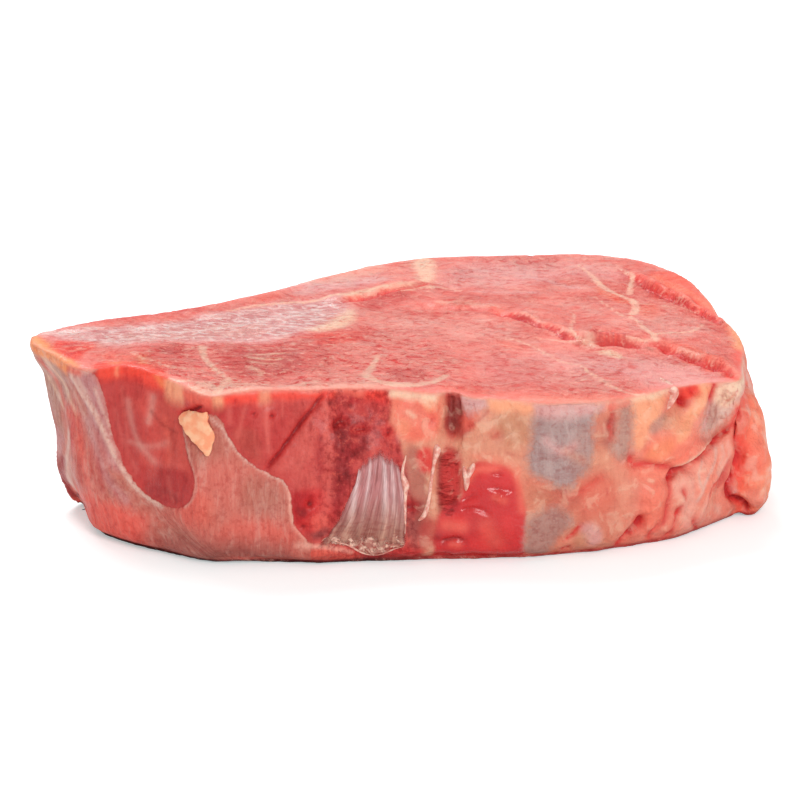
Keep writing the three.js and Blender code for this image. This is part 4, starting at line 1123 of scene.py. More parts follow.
# %% Washes of the veil
veil.wash("film_brown", 0.35 + 0.5 * middling)
veil.wash("silver", rise(x, 6, 8))
VEIL_AREAS = [
    ("film_grey", 0.9, 2.5, [(-88, 42), (-73, 38), (-72.4, 31), (-76, 25), (-88, 25)]),
    ("film_pink", 0.8, 2.0, [(-77, 27), (-71, 29), (-66, 20), (-64, 10), (-76, 12)]),
    ("film_lilac", 0.8, 1.4, [
        (-71.5, 40), (-66.4, 40), (-62.4, 24), (-60, 17), (-63.6, 18), (-67, 26), (-70.4, 33)]),
    ("film_red", 0.95, 2.5, [(-73, 11), (-60, 10.6), (-52, 8), (-50, 3), (-60, -2), (-76, -2)]),
    ("film_red", 0.55, 1.6, [(-48, 20), (-44, 22), (-42, 17), (-43, 10), (-48, 9)]),
    ("film_red", 0.5, 2.5, [(-40, 11), (-27, 11), (-22, 8), (-23, 3), (-38, 3)]),
    ("film_brown", 0.7, 2.5, [(-55, 8), (-48, 9), (-44, 6.6), (-46, 3.4), (-54, 4)]),
    ("mottle", 0.85, 2.5, [(-56, 6.6), (-24, 6.6), (-24, 1), (-56, 1)]),
    ("film_brown", 0.65, 2.5, [(-34, 21), (-26, 19), (-25, 13), (-32, 11.6), (-36, 15)]),
    ("film_brown", 0.5, 2.0, [(-46, 31), (-40, 31), (-38, 25), (-45, 22)]),
    ("film_pink", 0.5, 2.0, [(-44, 24), (-36, 24), (-34, 15), (-42, 12)]),
    ("salmon", 0.35, 1.6, [(-43.6, 17), (-40, 17), (-40, 10), (-44, 10)]),
    ("film_grey", 0.7, 1.2, [(-79, 27), (-76.4, 26), (-75.4, 19), (-77.6, 19)]),
    ("fat_orange", 0.5, 1.0, [(-76.6, 25), (-74.8, 24), (-74, 18), (-76, 17)]),
    ("film_lilac", 0.7, 1.0, [(-79, 20), (-76.4, 20), (-76, 12), (-78, 10)]),
    ("muscle_dark", 0.85, 0.8, [(-77, 13.4), (-75.4, 13), (-74.6, 6), (-72.6, 4), (-74.4, 2.6), (-77, 7)]),
    ("silver_pink", 0.85, 1.4, [(27, 37), (44, 37), (44, 31.6), (27.6, 31)]),
    ("silver_low", 0.8, 1.6, [(26, 13), (38, 13), (38, 0), (26, 0)]),
    ("silver_low", 0.4, 2.0, [(36, 29), (42, 29), (42, 19), (36, 19)]),
    ("silver_pink", 0.85, 1.0, [(11, 38), (20, 38), (20, 31), (11, 31)]),
    ("film_grey", 0.9, 1.0, [(45, 35), (50, 35), (50, 20), (45, 20)]),
    ("film_white", 0.95, 1.0, [(64, 36), (78, 36), (78, 20), (64, 20)]),
    ("cream", 0.85, 0.8, [
        (68.6, 36), (78, 36), (75.4, 31.4), (72.6, 27.9), (70.4, 27), (68.8, 29.5), (67.7, 31.1)]),
    ("silver_low", 0.5, 1.0, [
        (68.1, 31), (70, 27.1), (68.9, 24.4), (67, 22.6), (64.4, 23), (65.1, 26.5), (66.4, 28.8)]),
]
VEIL_LINES = [
    ("cream", 0.55, 0.7, [(-79, 37.5), (-74, 31), (-71, 27)]),
    ("cream", 0.5, 0.6, [(-79.4, 31.4), (-77, 28.6), (-75, 26.6)]),
    ("film_red", 0.6, 0.8, [(-80, 36), (-76, 29.6), (-73, 26)]),
    ("film_white", 0.95, 0.6, [
        (-72.5, 37.4), (-70, 33.5), (-67.5, 30.5), (-65.5, 27.5), (-63.5, 23), (-61.5, 19.5), (-59, 16),
        (-56.5, 13.6), (-52, 12)]),
    ("film_white", 0.6, 0.4, [(-70.5, 36.4), (-68, 32.5), (-66, 29), (-64.5, 26), (-62, 21.4)]),
    ("film_white", 0.6, 0.4, [(-66.5, 35), (-65.2, 31), (-63.7, 28), (-63, 25.5)]),
    ("film_white", 0.45, 0.5, [(-72, 33), (-69.6, 28.6), (-67, 23), (-65, 18)]),
    ("film_lilac", 0.6, 1.2, [(-68.4, 27), (-66.6, 22), (-64, 15), (-60, 11.6)]),
    ("scarlet", 0.55, 0.7, [(-72.6, 28), (-71.8, 25), (-72.2, 22), (-71.6, 19)]),
    ("film_red", 0.7, 0.9, [(-70.6, 27), (-70, 20), (-68.6, 14), (-68, 11)]),
    ("muscle", 0.5, 0.6, [(-71, 18), (-70.2, 15), (-70, 12.6)]),
    ("muscle", 0.45, 0.7, [(-66, 19), (-65.6, 16), (-65, 12.4)]),
    ("muscle", 0.4, 0.5, [(-67.6, 22), (-68, 18), (-67, 14)]),
    ("muscle", 0.4, 0.7, [(-62.6, 13), (-61, 11.6)]),
    ("film_white", 0.9, 0.65, [(-73.6, 22), (-74.2, 19), (-74.6, 15), (-75, 10.4), (-74.2, 8), (-72.4, 6.4)]),
    ("film_white", 0.5, 1.2, [(-74, 14), (-74, 9), (-72.6, 7)]),
    ("muscle_dark", 0.8, 0.7, [(-75.6, 13), (-75.6, 9), (-74.6, 6)]),
    ("dark_blood", 0.9, 0.6, [(-72.6, 3.4), (-71.6, 6.2), (-70, 6.4)]),
    # Painted highlights along the free edges of the membrane.
    ("film_white", 0.75, 0.35, [
        (-41.2, 33.4), (-38.4, 31.2), (-37, 28.6), (-35.2, 25.6), (-31, 22.2), (-28.2, 20.5), (-25.8, 19.8),
        (-24.3, 18.2)]),
    ("cream_rose", 0.8, 0.4, [(-24.3, 18.2), (-23.9, 15.2), (-24, 12), (-22.9, 9.2), (-21, 7.2)]),
    ("film_white", 0.45, 0.35, [
        (-47.4, 30.6), (-46.2, 27), (-45, 23), (-43.8, 19.6), (-44.4, 16), (-46.4, 13.6)]),
    # Painted highlight on the rolled lower edge of the membrane, over its pale tissue.
    ("cream_rose", 0.7, 0.9, [(-22.4, 5.4), (-19.8, 5.4)]),
    ("silver_pink", 0.6, 1.0, [(31, 27), (34, 24), (37, 25.6)]),
    ("straw", 0.4, 1.0, [(35, 24.6), (39, 22)]),
    ("film_brown", 0.6, 0.3, [(68.4, 31), (67.4, 27.6), (66.4, 25)]),
    ("film_brown", 0.5, 0.3, [(69.6, 29), (68.8, 26.4), (68, 24.6)]),
    ("silver_pink", 0.8, 0.3, [(67.8, 29.6), (66.9, 27), (65.8, 24.4)]),
    ("fat_orange", 0.5, 0.35, [(73.4, 31), (71.8, 29.4), (70.8, 27.6)]),
    ("film_brown", 0.4, 0.3, [(71.6, 33), (70.6, 30.6), (70.2, 28.6)]),
]
veil.areas(VEIL_AREAS, u, w, on_front)
veil.lines(VEIL_LINES, x, z, on_front)
print("veil share:", round(float(((film_off > 0) | (silver_off > 0))[on_front > 0.5].mean()), 2))

# %% [markdown]
# Just under the rim the knife has pressed the tissue, and light comes through its edge: a band two or
# three millimetres deep glows from orange to red. The band is painted by stretches along the steak. The
# very edge is a thin pale line, partly pale tissue and partly a painted highlight, except on the raised
# lip at the left, which has four short stripes.

# %% Washes of the rim
LIP_START, LIP_END = -67, -50
RIM_BAND = [
    # from, to (mm along the steak), depth of the band, colour, strength
    (-90, -72.6, 2.2, "orange", 0.95), (-73, -69.6, 1.3, "salmon", 0.8), (-69.6, -66, 1.0, "cream_rose", 0.6),
    (-66, -50.5, 2.8, "ember", 0.95), (-50.8, -46.6, 4.2, "peach", 0.85), (-47, -40.4, 2.6, "salmon", 0.8),
    (-40.6, -37.8, 3.0, "peach", 0.85), (-38, -30.4, 2.8, "ember", 0.85), (-30.6, -28, 3.0, "peach", 0.55),
    (-28.2, -14, 2.2, "ember", 0.75), (-14.2, -8, 1.6, "salmon", 0.7), (-8, -3, 2.4, "ember", 0.6),
    (-3.2, 7.6, 1.6, "cream", 0.85), (12.4, 18.4, 2.2, "silver_pink", 0.8), (18.4, 28.2, 2.4, "peach", 0.8),
    (28, 44, 2.0, "silver_pink", 0.8), (44, 49.6, 1.6, "fat_pink", 0.8), (49.6, 58, 1.4, "cream", 0.6),
    (61.4, 65.2, 2.4, "ember", 0.85), (65.2, 68, 2.0, "peach", 0.8), (69.4, 76, 1.2, "cream", 0.5),
]
rim_depth = edge + 0.5 * swell(co, 3.0, 91)
for coat in (bare, veil):
    for start, end, deep, colour, strength in RIM_BAND:
        stretch = rise(u, start - 0.7, start + 0.7) * (1 - rise(u, end - 0.7, end + 0.7))
        band = 1 - rise(rim_depth, 0.45 * deep, 1.4 * deep)
        coat.wash(colour, strength * stretch * band * on_front)
LIP_STRIPES = [
    ("peach", 0.5, 0.5, [(-61.4, 41.5), (-61.6, 38.6)]),
    ("blood", 0.5, 0.6, [(-57.6, 38.4), (-56.4, 38)]),
    ("blood", 0.4, 0.6, [(-59.8, 40.4), (-59.2, 38)]),
    ("orange", 0.5, 0.7, [(-53, 40), (-51.6, 38)]),
]
bare.lines(LIP_STRIPES, x, z, on_front)
on_lip = (x > LIP_START) & (x < LIP_END) & (y < 0)
# A thin pale line along the edge, partly pale tissue and partly a painted highlight.
pale_edge_and_highlight = np.exp(-((edge / 0.55) ** 2)) * np.where(on_lip, 0.0, 0.5)
for coat in (bare, veil):
    coat.wash("cream_rose", pale_edge_and_highlight * (0.7 + 0.5 * fine) * (upper + side))

# %% [markdown]
# The other sides carry the same tissues, placed by noise: membrane over muscle, and under the rim a band
# of painted glow, salmon and orange, where light comes through the edge. The hanging fold at the
# right-hand corner is a bag of soft fat, salmon pink with paler streaks, and painted shade in ember on
# its left side, toward the crevice. After that, the creases of all sides get painted shade by their
# depth, red to nearly black, the foot gets a painted shadow, almost black on the left and blood red on
# the right, and the notch in the front fat gets painted shade in its hollow, brown and plum over the
# muscle's own brown.

# %% Washes of the other sides
bare.wash("muscle_dark", elsewhere * (0.3 + 0.6 * middling))
bare.wash("muscle_pale", elsewhere * (0.2 - 0.6 * middling))
veil.wash("film_pink", elsewhere * 0.9)
veil.wash("film_brown", elsewhere * (0.3 + 0.7 * broad))
veil.wash("film_white", elsewhere * (0.15 + 0.8 * swell(tall, 3.0, 92)))
hidden_film = 10 * swell(co * [1, 1, 0.7], 24.0, 93) + 3.0 * swell(co, 7.0, 94) + 1.5
film_off = front * film_off + (1 - front) * hidden_film
# Painted glow of light through the edge, in a band under the rim.
rim_glow = 1 - rise(rim_depth, 1.0, 4.0)
for coat in (bare, veil):
    coat.wash("salmon", 0.85 * elsewhere * rim_glow)
    coat.wash("orange", 0.8 * elsewhere * rim_glow * rise(broad, -0.2, 0.4))
FOLD_MIDDLE = np.array([76.7, -21.0, 13.2])
FOLD_SIZE = np.array([7.2, 9.6, 16.4])  # half the fold's width, depth and height
in_fold = rise(np.linalg.norm((co - FOLD_MIDDLE) / FOLD_SIZE, axis=1), 1.06, 0.96) * rise(x, 73.2, 75)
bare.wash("glow", in_fold)
bare.wash("salmon", in_fold * (0.5 - 0.4 * rise(x, 77, 82)))
bare.wash("peach", in_fold * (0.1 + 0.35 * middling + 0.6 * rise(x, 79, 84)))
# Painted shade: ember on the fold's left side, toward the crevice.
bare.wash("ember", in_fold * 0.7 * (1 - rise(x, 74, 79)) + in_fold * 0.15 * fine)
bare.wash("cream_rose", in_fold * 0.5 * rise(swell(co, 1.6, 95), 0.1, 0.6))
crease_shade = np.clip(depth, 0, 1)
# The foot's painted shadow: blood red, and almost black left of the middle.
shadow_at_foot = (1 - rise(z, 0.5, 1.5)) * (1 - upper)
# Painted shade in the creases, red to nearly black by their depth, and the foot's painted shadow.
for coat in (bare, veil):
    coat.wash("scarlet", 0.6 * np.sqrt(crease_shade))
    coat.wash("scarlet", 0.8 * rise(crease_shade, 0.3, 0.8))
    coat.wash("blood", 0.7 * rise(crease_shade, 0.6, 1.0))
    coat.wash("dark_blood", 0.7 * rise(crease_shade, 0.3, 0.8) * (1 - rise(x, 20, 30)))
    coat.wash("blood", 0.7 * shadow_at_foot)
    coat.wash("painted_foot_shadow", 0.95 * shadow_at_foot * (1 - 0.85 * rise(x, -8, 12)))
NOTCH = [
    (8.9, 38.6), (12.8, 38.6), (13.2, 34.6), (12.2, 31.4), (12.4, 28.4), (10.6, 27), (9.4, 28.6),
    (9.9, 31.6)]
notch = rise(inside(NOTCH, u, w), -0.6, 1.0) * on_front
# Painted shade in the notch's hollow over the muscle's own brown: brown all over, plum where it is deepest.
bare.wash("muscle_brown", 0.85 * notch)
bare.wash("plum", 0.75 * notch * (1 - rise(np.abs(z - 31.5), 1.5, 5)))

# %% [markdown]
# Seams of fat between the muscles run through the steak, so the same lines show on both cuts. They stay
# distances here, and the shader draws the line: that keeps it sharper than the net of points.

# %% Seams
SEAMS = [
    # line on the cut, half its width at the start and at the end
    ([(-44.5, -24), (-43.8, -29.3), (-42.5, -34.5)], 0.95, 0.45),
    ([(-42.5, -34.5), (-41.2, -39.7), (-39.5, -43.7), (-37.7, -45.7), (-36.8, -49)], 0.45, 0.75),
    ([(-37.7, -45.7), (-38.7, -51.5), (-39.3, -56)], 0.5, 0.9),
    ([(-59.3, -30.3), (-55.7, -34.7), (-52.5, -41.2), (-48.2, -42.7), (-43.8, -41.7), (-40, -42.3)],
     0.25, 0.3),
    ([(-50.3, -49), (-46.5, -50.3), (-42.2, -50.7), (-39, -52.7), (-35.7, -50.3), (-30.7, -48.8),
      (-24.2, -51.7), (-17.8, -47)], 0.4, 0.4),
    ([(-5, -25), (-6, -31), (-8.2, -38), (-7.6, -43), (-4, -46.4)], 0.4, 1.2),
    ([(-4, -46.4), (2, -46), (7, -42.6), (9.6, -38)], 1.5, 0.6),
    ([(42.2, 48.5), (43.5, 44.5), (45.5, 39), (46.7, 33.5)], 0.2, 0.8),
    ([(46.7, 33.5), (48.3, 29), (51, 25.5), (54, 22)], 0.9, 0.7),
    ([(54, 22), (54.6, 15), (52.6, 8)], 0.9, 0.8),
    ([(52.4, 6), (52.6, 3), (54, -1.5), (55.5, -5.8), (56.6, -9.4), (57, -12)], 0.55, 0.7),
    ([(51.3, 48.2), (53.3, 42.8), (55.3, 38.3), (54.5, 34.2), (53.4, 27)], 0.2, 0.75),
    ([(57, -9.4), (60.5, -6.2), (64.2, -5.6), (67.2, -2.2), (68.8, 2.2)], 0.5, 0.35),
    ([(45.2, 22.8), (48, 13.8), (50.2, 6.8), (52.3, 1.2)], 0.15, 0.25),
    ([(54.8, 19.8), (59, 19.2), (64.5, 18.3), (69, 16)], 0.1, 0.15),
    ([(39.8, 10.3), (38.5, -0.7), (38, -5.8), (39.5, -11.7), (42.5, -13), (46, -14.8)], 0.3, 0.2),
    ([(30, -7.4), (33.7, -9.4), (36.3, -11.3), (39.8, -12.2)], 0.15, 0.3),
    ([(23.3, -9.2), (26.5, -10), (29.8, -16), (33.2, -23), (36.7, -25.5), (39.2, -27), (41.7, -32.5),
      (44, -37.5), (46.3, -41.3), (49.7, -44), (53.3, -43)], 0.3, 0.45),
    ([(36, -39.8), (38.7, -37.5), (41.5, -35.7)], 0.1, 0.1),
    ([(6, 27), (11, 30), (14, 26)], 0.5, 0.2),
    ([(-40, 2), (-30, 10), (-20, 15), (-13.5, 18)], 0.25, 0.6),
]
NO_SEAM = 50.0  # a distance at which nothing of a seam shows
seam = np.full(len(co), NO_SEAM)
for path, start, end in SEAMS:
    off, share = from_line(path, x + 0.5 * middling, y + 0.4 * fine)
    past = np.maximum(beyond_ends(path, x, y), 0)
    seam = np.minimum(seam, np.abs(off) + past - (start + (end - start) * share))
seam = np.where(cuts > 0.3, seam, NO_SEAM)

# %% [markdown]
# Fibres give each side tissue its direction. The shader's noise takes three numbers in place of a
# position. The third one, the height, is squeezed, so that the noise comes out as streaks that run down
# the side. In the folds at the right-hand corner the first number leans with the folds. The membrane on
# the left has numbers of its own, "pull": between two guide lines its streaks fan out from the tip, where
# the membrane is stretched.

# %% Fibre directions
PULL_LEFT = [(-81.5, 40), (-79.4, 31), (-78.2, 26), (-78.2, 16), (-77.3, 7), (-76, 0)]
PULL_RIGHT = [(-72.5, 40), (-69, 31.5), (-65.5, 23.5), (-62.5, 17.5), (-56, 12.5), (-40, 0)]
PULL_WIDTH = 10.0  # width that the noise sees between the two guide lines
PULL_BORDER = -62.0  # place along the steak that it sees on the right one


def across_at(guide, heights):
    """How far along the steak a guide line runs at these heights."""
    line = np.array(guide)[::-1]
    return np.interp(heights, line[:, 1], line[:, 0])


lean = x + 0.5 * (20 - z) * rise(x, 54, 66)
fibre = np.stack([lean, y, z * SQUEEZE], axis=1)
left_guide, right_guide = across_at(PULL_LEFT, z), across_at(PULL_RIGHT, z)
share = (x - right_guide) / (right_guide - left_guide)
pulled = 1 - rise(x - right_guide, -1, 6)
pull = fibre.copy()
pull[:, 0] = x + pulled * front * (PULL_BORDER + PULL_WIDTH * share - x)
print("pulled points:", int((pulled * on_front > 0.5).sum()))

# %% [markdown]
# The numbers go into the mesh as named attributes, which the shader reads like textures. Two of them
# steer contrast: "marble" is how strongly the bundles show on the cuts, and "lively" how strongly the
# fibres show on the sides. "comb" marks the red hollow beside the fan, which has fine cross ribs, and
# "sheen" the wet sheath on the left of the cut, which is glossier and gets painted glints, a painted
# reflection of the sky. Off the sides, the distances to the borders of membrane and silverskin are
# pushed far outside, so that neither is drawn there.


# %% Attributes
def keep_number(target, name, values):
    """Stores one number for each point of a mesh."""
    target.attributes.new(name, "FLOAT", "POINT").data.foreach_set("value", values.astype(np.float32))


def keep_colour(target, name, values):
    """Stores one linear colour for each point of a mesh."""
    full = np.concatenate([values, np.ones((len(values), 1))], axis=1)
    target.attributes.new(name, "FLOAT_COLOR", "POINT").data.foreach_set("color", full.ravel())


TIP_LOBE = [(57, 36), (62, 29), (66, 22), (70, 15), (73, 8), (80, 16), (74, 32), (62, 43)]
marble = (0.6 + 0.5 * open_grain + 0.25 * middling) * rise(edge, -1, 4)
marble = marble * (1 - 0.5 * rise(inside(TIP_LOBE, x, y), -1, 1))
SHEEN = [(-84, -15), (-60, -9), (-40, 1), (-22, 16), (-11, 17), (-14, -3), (-27, -17), (-48, -22), (-64, -27)]
sheen = rise(inside(SHEEN, x, y), -2, 4) * upper
lively = muscle * (0.5 + 0.5 * rise(x, -24, -14)) + 0.8 * elsewhere * (1 - 0.9 * in_fold) + 0.2 * fat
COMB = [(7.2, 25.6), (12.8, 25.4), (12.6, 10.8), (7.2, 10.4)]
comb = rise(inside(COMB, u, w), -0.5, 1.2) * on_front
wet = wet_red + 0.4 * depth * (1 - notch) + 0.7 * sheen
OFF_SIDE = 9.0  # how far a border is pushed away from the cuts, in mm
shares = {"marble": marble, "lively": lively, "wet": wet, "fat": fat + in_fold}
numbers = {
    "cut": cuts, "film": film_off - OFF_SIDE * cuts, "silver": silver_off - OFF_SIDE * cuts, "seam": seam,
    "torn": torn * upper, "comb": comb, "sheen": sheen,
    **{name: np.clip(values, 0, 1) for name, values in shares.items()},
}
for name, values in numbers.items():
    keep_number(mesh, name, values)
keep_colour(mesh, "paint", np.clip(bare.paint, 0, 1))
keep_colour(mesh, "veil", np.clip(veil.paint, 0, 1))
for name, values in (("fibre", fibre), ("pull", pull)):
    mesh.attributes.new(name, "FLOAT_VECTOR", "POINT").data.foreach_set("vector", values.ravel())
bpy.ops.object.select_all(action="DESELECT")
steak.select_set(True)
bpy.context.view_layer.objects.active = steak
bpy.ops.object.shade_smooth()
print("attributes:", [a.name for a in mesh.attributes if not a.name.startswith(".")])

# %% [markdown]
# Shader groups are the lesson's brushes. A recipe adds each node with its settings and links in a single
# call, so that a material can be read from top to bottom. The helper after it starts a group with named
# inputs and outputs.


# %% Shader helpers
class Recipe:
    """A node tree under construction."""

    def __init__(self, tree):
        self.tree = tree

    def feed(self, value, socket):
        """Links a socket to the value if it is a socket too, and otherwise sets the value on it."""
        if isinstance(value, bpy.types.NodeSocket):
            self.tree.links.new(value, socket)
        else:
            socket.default_value = value

    def node(self, kind, settings=None, **sockets):
        """Adds a node. A socket is given by its name, with _ for a space, or by _ and its number."""
        made = self.tree.nodes.new("ShaderNode" + kind)
        for name, value in (settings or {}).items():
            setattr(made, name, value)
        for name, value in sockets.items():
            self.feed(value, made.inputs[int(name[1:]) if name[1:].isdigit() else name.replace("_", " ")])
        return made

    def maths(self, operation, *values):
        """A Math node with these values, and its result."""
        sockets = {f"_{i}": value for i, value in enumerate(values)}
        return self.node("Math", {"operation": operation}, **sockets).outputs[0]

    def times(self, *values):
        """All values multiplied."""
        product = values[0]
        for value in values[1:]:
            product = self.maths("MULTIPLY", product, value)
        return product

    def step(self, value, low, high, start=0.0, end=1.0):
        """A smooth rise from start to end as value goes from low to high."""
        made = self.node("MapRange", {"interpolation_type": "SMOOTHSTEP"}, Value=value)
        for name, number in (("From Min", low), ("From Max", high), ("To Min", start), ("To Max", end)):
            self.feed(number, made.inputs[name])
        return made.outputs[0]

    def mix(self, share, first, second, blend="MIX"):
        """One colour laid over another."""
        made = self.node("Mix", {"data_type": "RGBA", "blend_type": blend})
        for socket, value in ((made.inputs[0], share), (made.inputs[6], first), (made.inputs[7], second)):
            self.feed(value, socket)
        return made.outputs[2]

    def layered(self, colour, layers):
        """Lays colours over the first one. Each has its share, its name or value, and maybe a blend."""
        for share, tone, *blend in layers:
            over = rgba(PALETTE[tone]) if isinstance(tone, str) else tone
            colour = self.mix(share, colour, over, *blend)
        return colour

    def scaled(self, vector, x, y, z):
        """A vector stretched by three numbers."""
        return self.node("VectorMath", {"operation": "MULTIPLY"}, _0=vector, _1=(x, y, z)).outputs[0]

    def stored(self, name, output="Fac"):
        """A named attribute of the mesh."""
        made = self.node("Attribute", {"attribute_name": name, "attribute_type": "GEOMETRY"})
        return made.outputs[output]


def new_group(name, inputs, outputs):
    """An empty shader node group with these sockets: its recipe, its inputs and its outputs."""
    tree = bpy.data.node_groups.new(name, "ShaderNodeTree")
    for label, kind, value in inputs:
        socket = tree.interface.new_socket(label, in_out="INPUT", socket_type="NodeSocket" + kind)
        if value is not None:
            socket.default_value = value
    for label in outputs:
        tree.interface.new_socket(label, in_out="OUTPUT", socket_type="NodeSocketFloat")
    recipe = Recipe(tree)
    return recipe, tree.nodes.new("NodeGroupInput").outputs, tree.nodes.new("NodeGroupOutput").inputs


# %% [markdown]
# Bundles: on a cut, muscle shows the ends of its fibre bundles as a wavy grain of dark gaps and pale
# wisps, with thin pale sheaths running through it. One noise bends the coordinates, a second one is the
# grain, and the line where a third one crosses its middle value makes a long winding thread. A last, slow
# noise lets the threads come and go. Coordinates come in millimetres.

# %% Group: bundles
build, given, result = new_group(
    "bundles", [("Vector", "Vector", None), ("Size", "Float", 2.0)], ["Dark", "Pale", "Height"])
density = build.maths("DIVIDE", 1.0, given["Size"])
twist = build.node("TexNoise", Vector=given["Vector"], Scale=0.4, Detail=3.0)
twisted = build.node("VectorMath", {"operation": "MULTIPLY_ADD"}, _0=twist.outputs["Color"],
                     _1=(3.0, 3.0, 3.0), _2=given["Vector"]).outputs[0]
grain = build.node("TexNoise", Vector=twisted, Scale=density, Detail=5.0, Roughness=0.66).outputs[0]
drawn_out = build.scaled(twisted, 0.45, 1.0, 1.0)
winding = build.node("TexNoise", Vector=drawn_out, Scale=build.times(density, 0.8), Detail=2.5).outputs[0]
crossing = build.maths("ABSOLUTE", build.maths("SUBTRACT", winding, 0.5))
gate = build.node("TexNoise", Vector=given["Vector"], Scale=0.16, Detail=2.0).outputs[0]
cracks = build.times(build.step(crossing, 0.022, 0.004), build.step(gate, 0.5, 0.4))
dark = build.maths("MAXIMUM", build.step(grain, 0.5, 0.36), build.times(cracks, 0.9))
build.feed(dark, result["Dark"])
sheaths = build.times(build.step(crossing, 0.02, 0.0), build.step(gate, 0.48, 0.56))
build.feed(build.maths("MAXIMUM", sheaths, build.step(grain, 0.53, 0.68, 0.0, 0.85)), result["Pale"])
build.feed(build.times(build.maths("SUBTRACT", grain, 0.5), 2.0), result["Height"])

# %% [markdown]
# Streaks: on a side the fibres are seen lengthwise, as fine lines that run together and part again. The
# fibre attribute is already squeezed along them, so plain noise comes out as streaks.

# %% Group: streaks
build, given, result = new_group(
    "streaks", [("Vector", "Vector", None), ("Size", "Float", 1.0)], ["Dark", "Pale", "Height"])
density = build.maths("DIVIDE", 1.0, given["Size"])
thin = build.node("TexNoise", Vector=given["Vector"], Scale=density, Detail=4.0, Roughness=0.55,
                  Distortion=0.4).outputs[0]
coarse = build.times(density, 0.28)
wide = build.node("TexNoise", Vector=given["Vector"], Scale=coarse, Detail=3.0).outputs[0]
both = build.maths("ADD", build.times(thin, 0.5), build.times(wide, 0.5))
build.feed(build.step(both, 0.52, 0.36), result["Dark"])
build.feed(build.step(both, 0.5, 0.66), result["Pale"])
build.feed(build.maths("SUBTRACT", both, 0.5), result["Height"])

# %% [markdown]
# Moisture: the film of juice is thicker here and thinner there, and that alone makes raw meat look raw.
# The group gives a roughness that wanders, and a very fine height for the glints.

# %% Group: moisture
build, given, result = new_group(
    "moisture", [("Vector", "Vector", None), ("Dry", "Float", 0.45), ("Wet", "Float", 0.25)],
    ["Roughness", "Pools", "Height"])
slow = build.node("TexNoise", Vector=given["Vector"], Scale=0.3, Detail=3.0).outputs[0]
pools = build.step(slow, 0.42, 0.62)
beads = build.node("TexNoise", Vector=given["Vector"], Scale=1.3, Detail=4.0, Roughness=0.55).outputs[0]
spread = build.maths("SUBTRACT", given["Wet"], given["Dry"])
build.feed(build.maths("ADD", given["Dry"], build.times(pools, spread)), result["Roughness"])
build.feed(pools, result["Pools"])
build.feed(build.maths("SUBTRACT", beads, 0.5), result["Height"])
print("groups:", sorted(g.name for g in bpy.data.node_groups))


# %% [markdown]
# The steak's own material reads the painted colours and lets each brush work only on its tissue: the
# bundles on the cuts, the streaks on bare muscle, membrane and silverskin. The colours are given as lists
# of layers, from the bottom up. Light goes a little way into meat, so a small share of it is scattered
# under the surface.

# %% Material: raw meat
def add_group(recipe, name, **sockets):
    """A group node in this recipe."""
    made = recipe.node("Group", {"node_tree": bpy.data.node_groups[name]})
    for label, value in sockets.items():
        recipe.feed(value, made.inputs[label])
    return made.outputs


def new_finish(name):
    """A material with a Principled shader: its recipe, its shader and object coordinates in mm."""
    material = bpy.data.materials.new(name)
    material.use_nodes = True
    recipe = Recipe(material.node_tree)
    shader = material.node_tree.nodes["Principled BSDF"]
    object_place = recipe.node("TexCoord").outputs["Object"]
    place = recipe.node("VectorMath", {"operation": "SCALE"}, _0=object_place, Scale=1 / MM).outputs[0]
    return material, recipe, shader, place


SHADE = rgba((0.76, 0.46, 0.47))
GRAIN_SHADE = rgba((0.82, 0.19, 0.19))
DEEP_SHADE = rgba((0.56, 0.22, 0.25))
PALE_THREAD = rgba(tint(255, 192, 172))
SEAM_FAT = rgba(tint(255, 196, 172))
SILVER_FIBRE = rgba(tint(216, 190, 184))


def fleshy(shader, share, depth_mm):
    """Lets light scatter under a surface, redder the deeper it goes, and wets the surface."""
    shader.inputs["Subsurface Weight"].default_value = share
    shader.inputs["Subsurface Radius"].default_value = (1.0, 0.3, 0.2)
    shader.inputs["Subsurface Scale"].default_value = depth_mm * MM
    shader.inputs["Coat Roughness"].default_value = 0.18
    shader.inputs["IOR"].default_value = 1.38
    shader.inputs["Specular IOR Level"].default_value = 0.3


meat, m, shader, place = new_finish("raw_meat")
cut, lively, marble, torn_share = (m.stored(n) for n in ("cut", "lively", "marble", "torn"))
bundle = add_group(m, "bundles", Vector=m.scaled(place, 0.75, 1.0, 1.0), Size=1.6)
streak = add_group(m, "streaks", Vector=m.stored("fibre", "Vector"), Size=0.95)
stretch = add_group(m, "streaks", Vector=m.stored("pull", "Vector"), Size=0.8)
sheath = add_group(m, "streaks", Vector=m.scaled(place, 1.0, 1.0, 0.1), Size=1.3)
damp = add_group(m, "moisture", Vector=place, Dry=0.5, Wet=0.32)
ribs = add_group(m, "streaks", Vector=m.scaled(place, 1.0, 1.0, 0.25), Size=0.55)
wrinkles = add_group(m, "streaks", Vector=m.scaled(place, 0.35, 0.35, 1.4), Size=0.7)
specks = m.node("TexNoise", Vector=place, Scale=0.8, Detail=5.0, Roughness=0.62).outputs[0]
fray = m.maths("SUBTRACT", specks, 0.5)
clouds = m.node("TexNoise", Vector=place, Scale=0.3, Detail=4.0, Roughness=0.55, Distortion=0.6).outputs[0]
drawn = m.scaled(place, 0.5, 1.0, 1.0)
glints = m.node("TexNoise", Vector=drawn, Scale=0.9, Detail=5.0, Distortion=0.8).outputs[0]

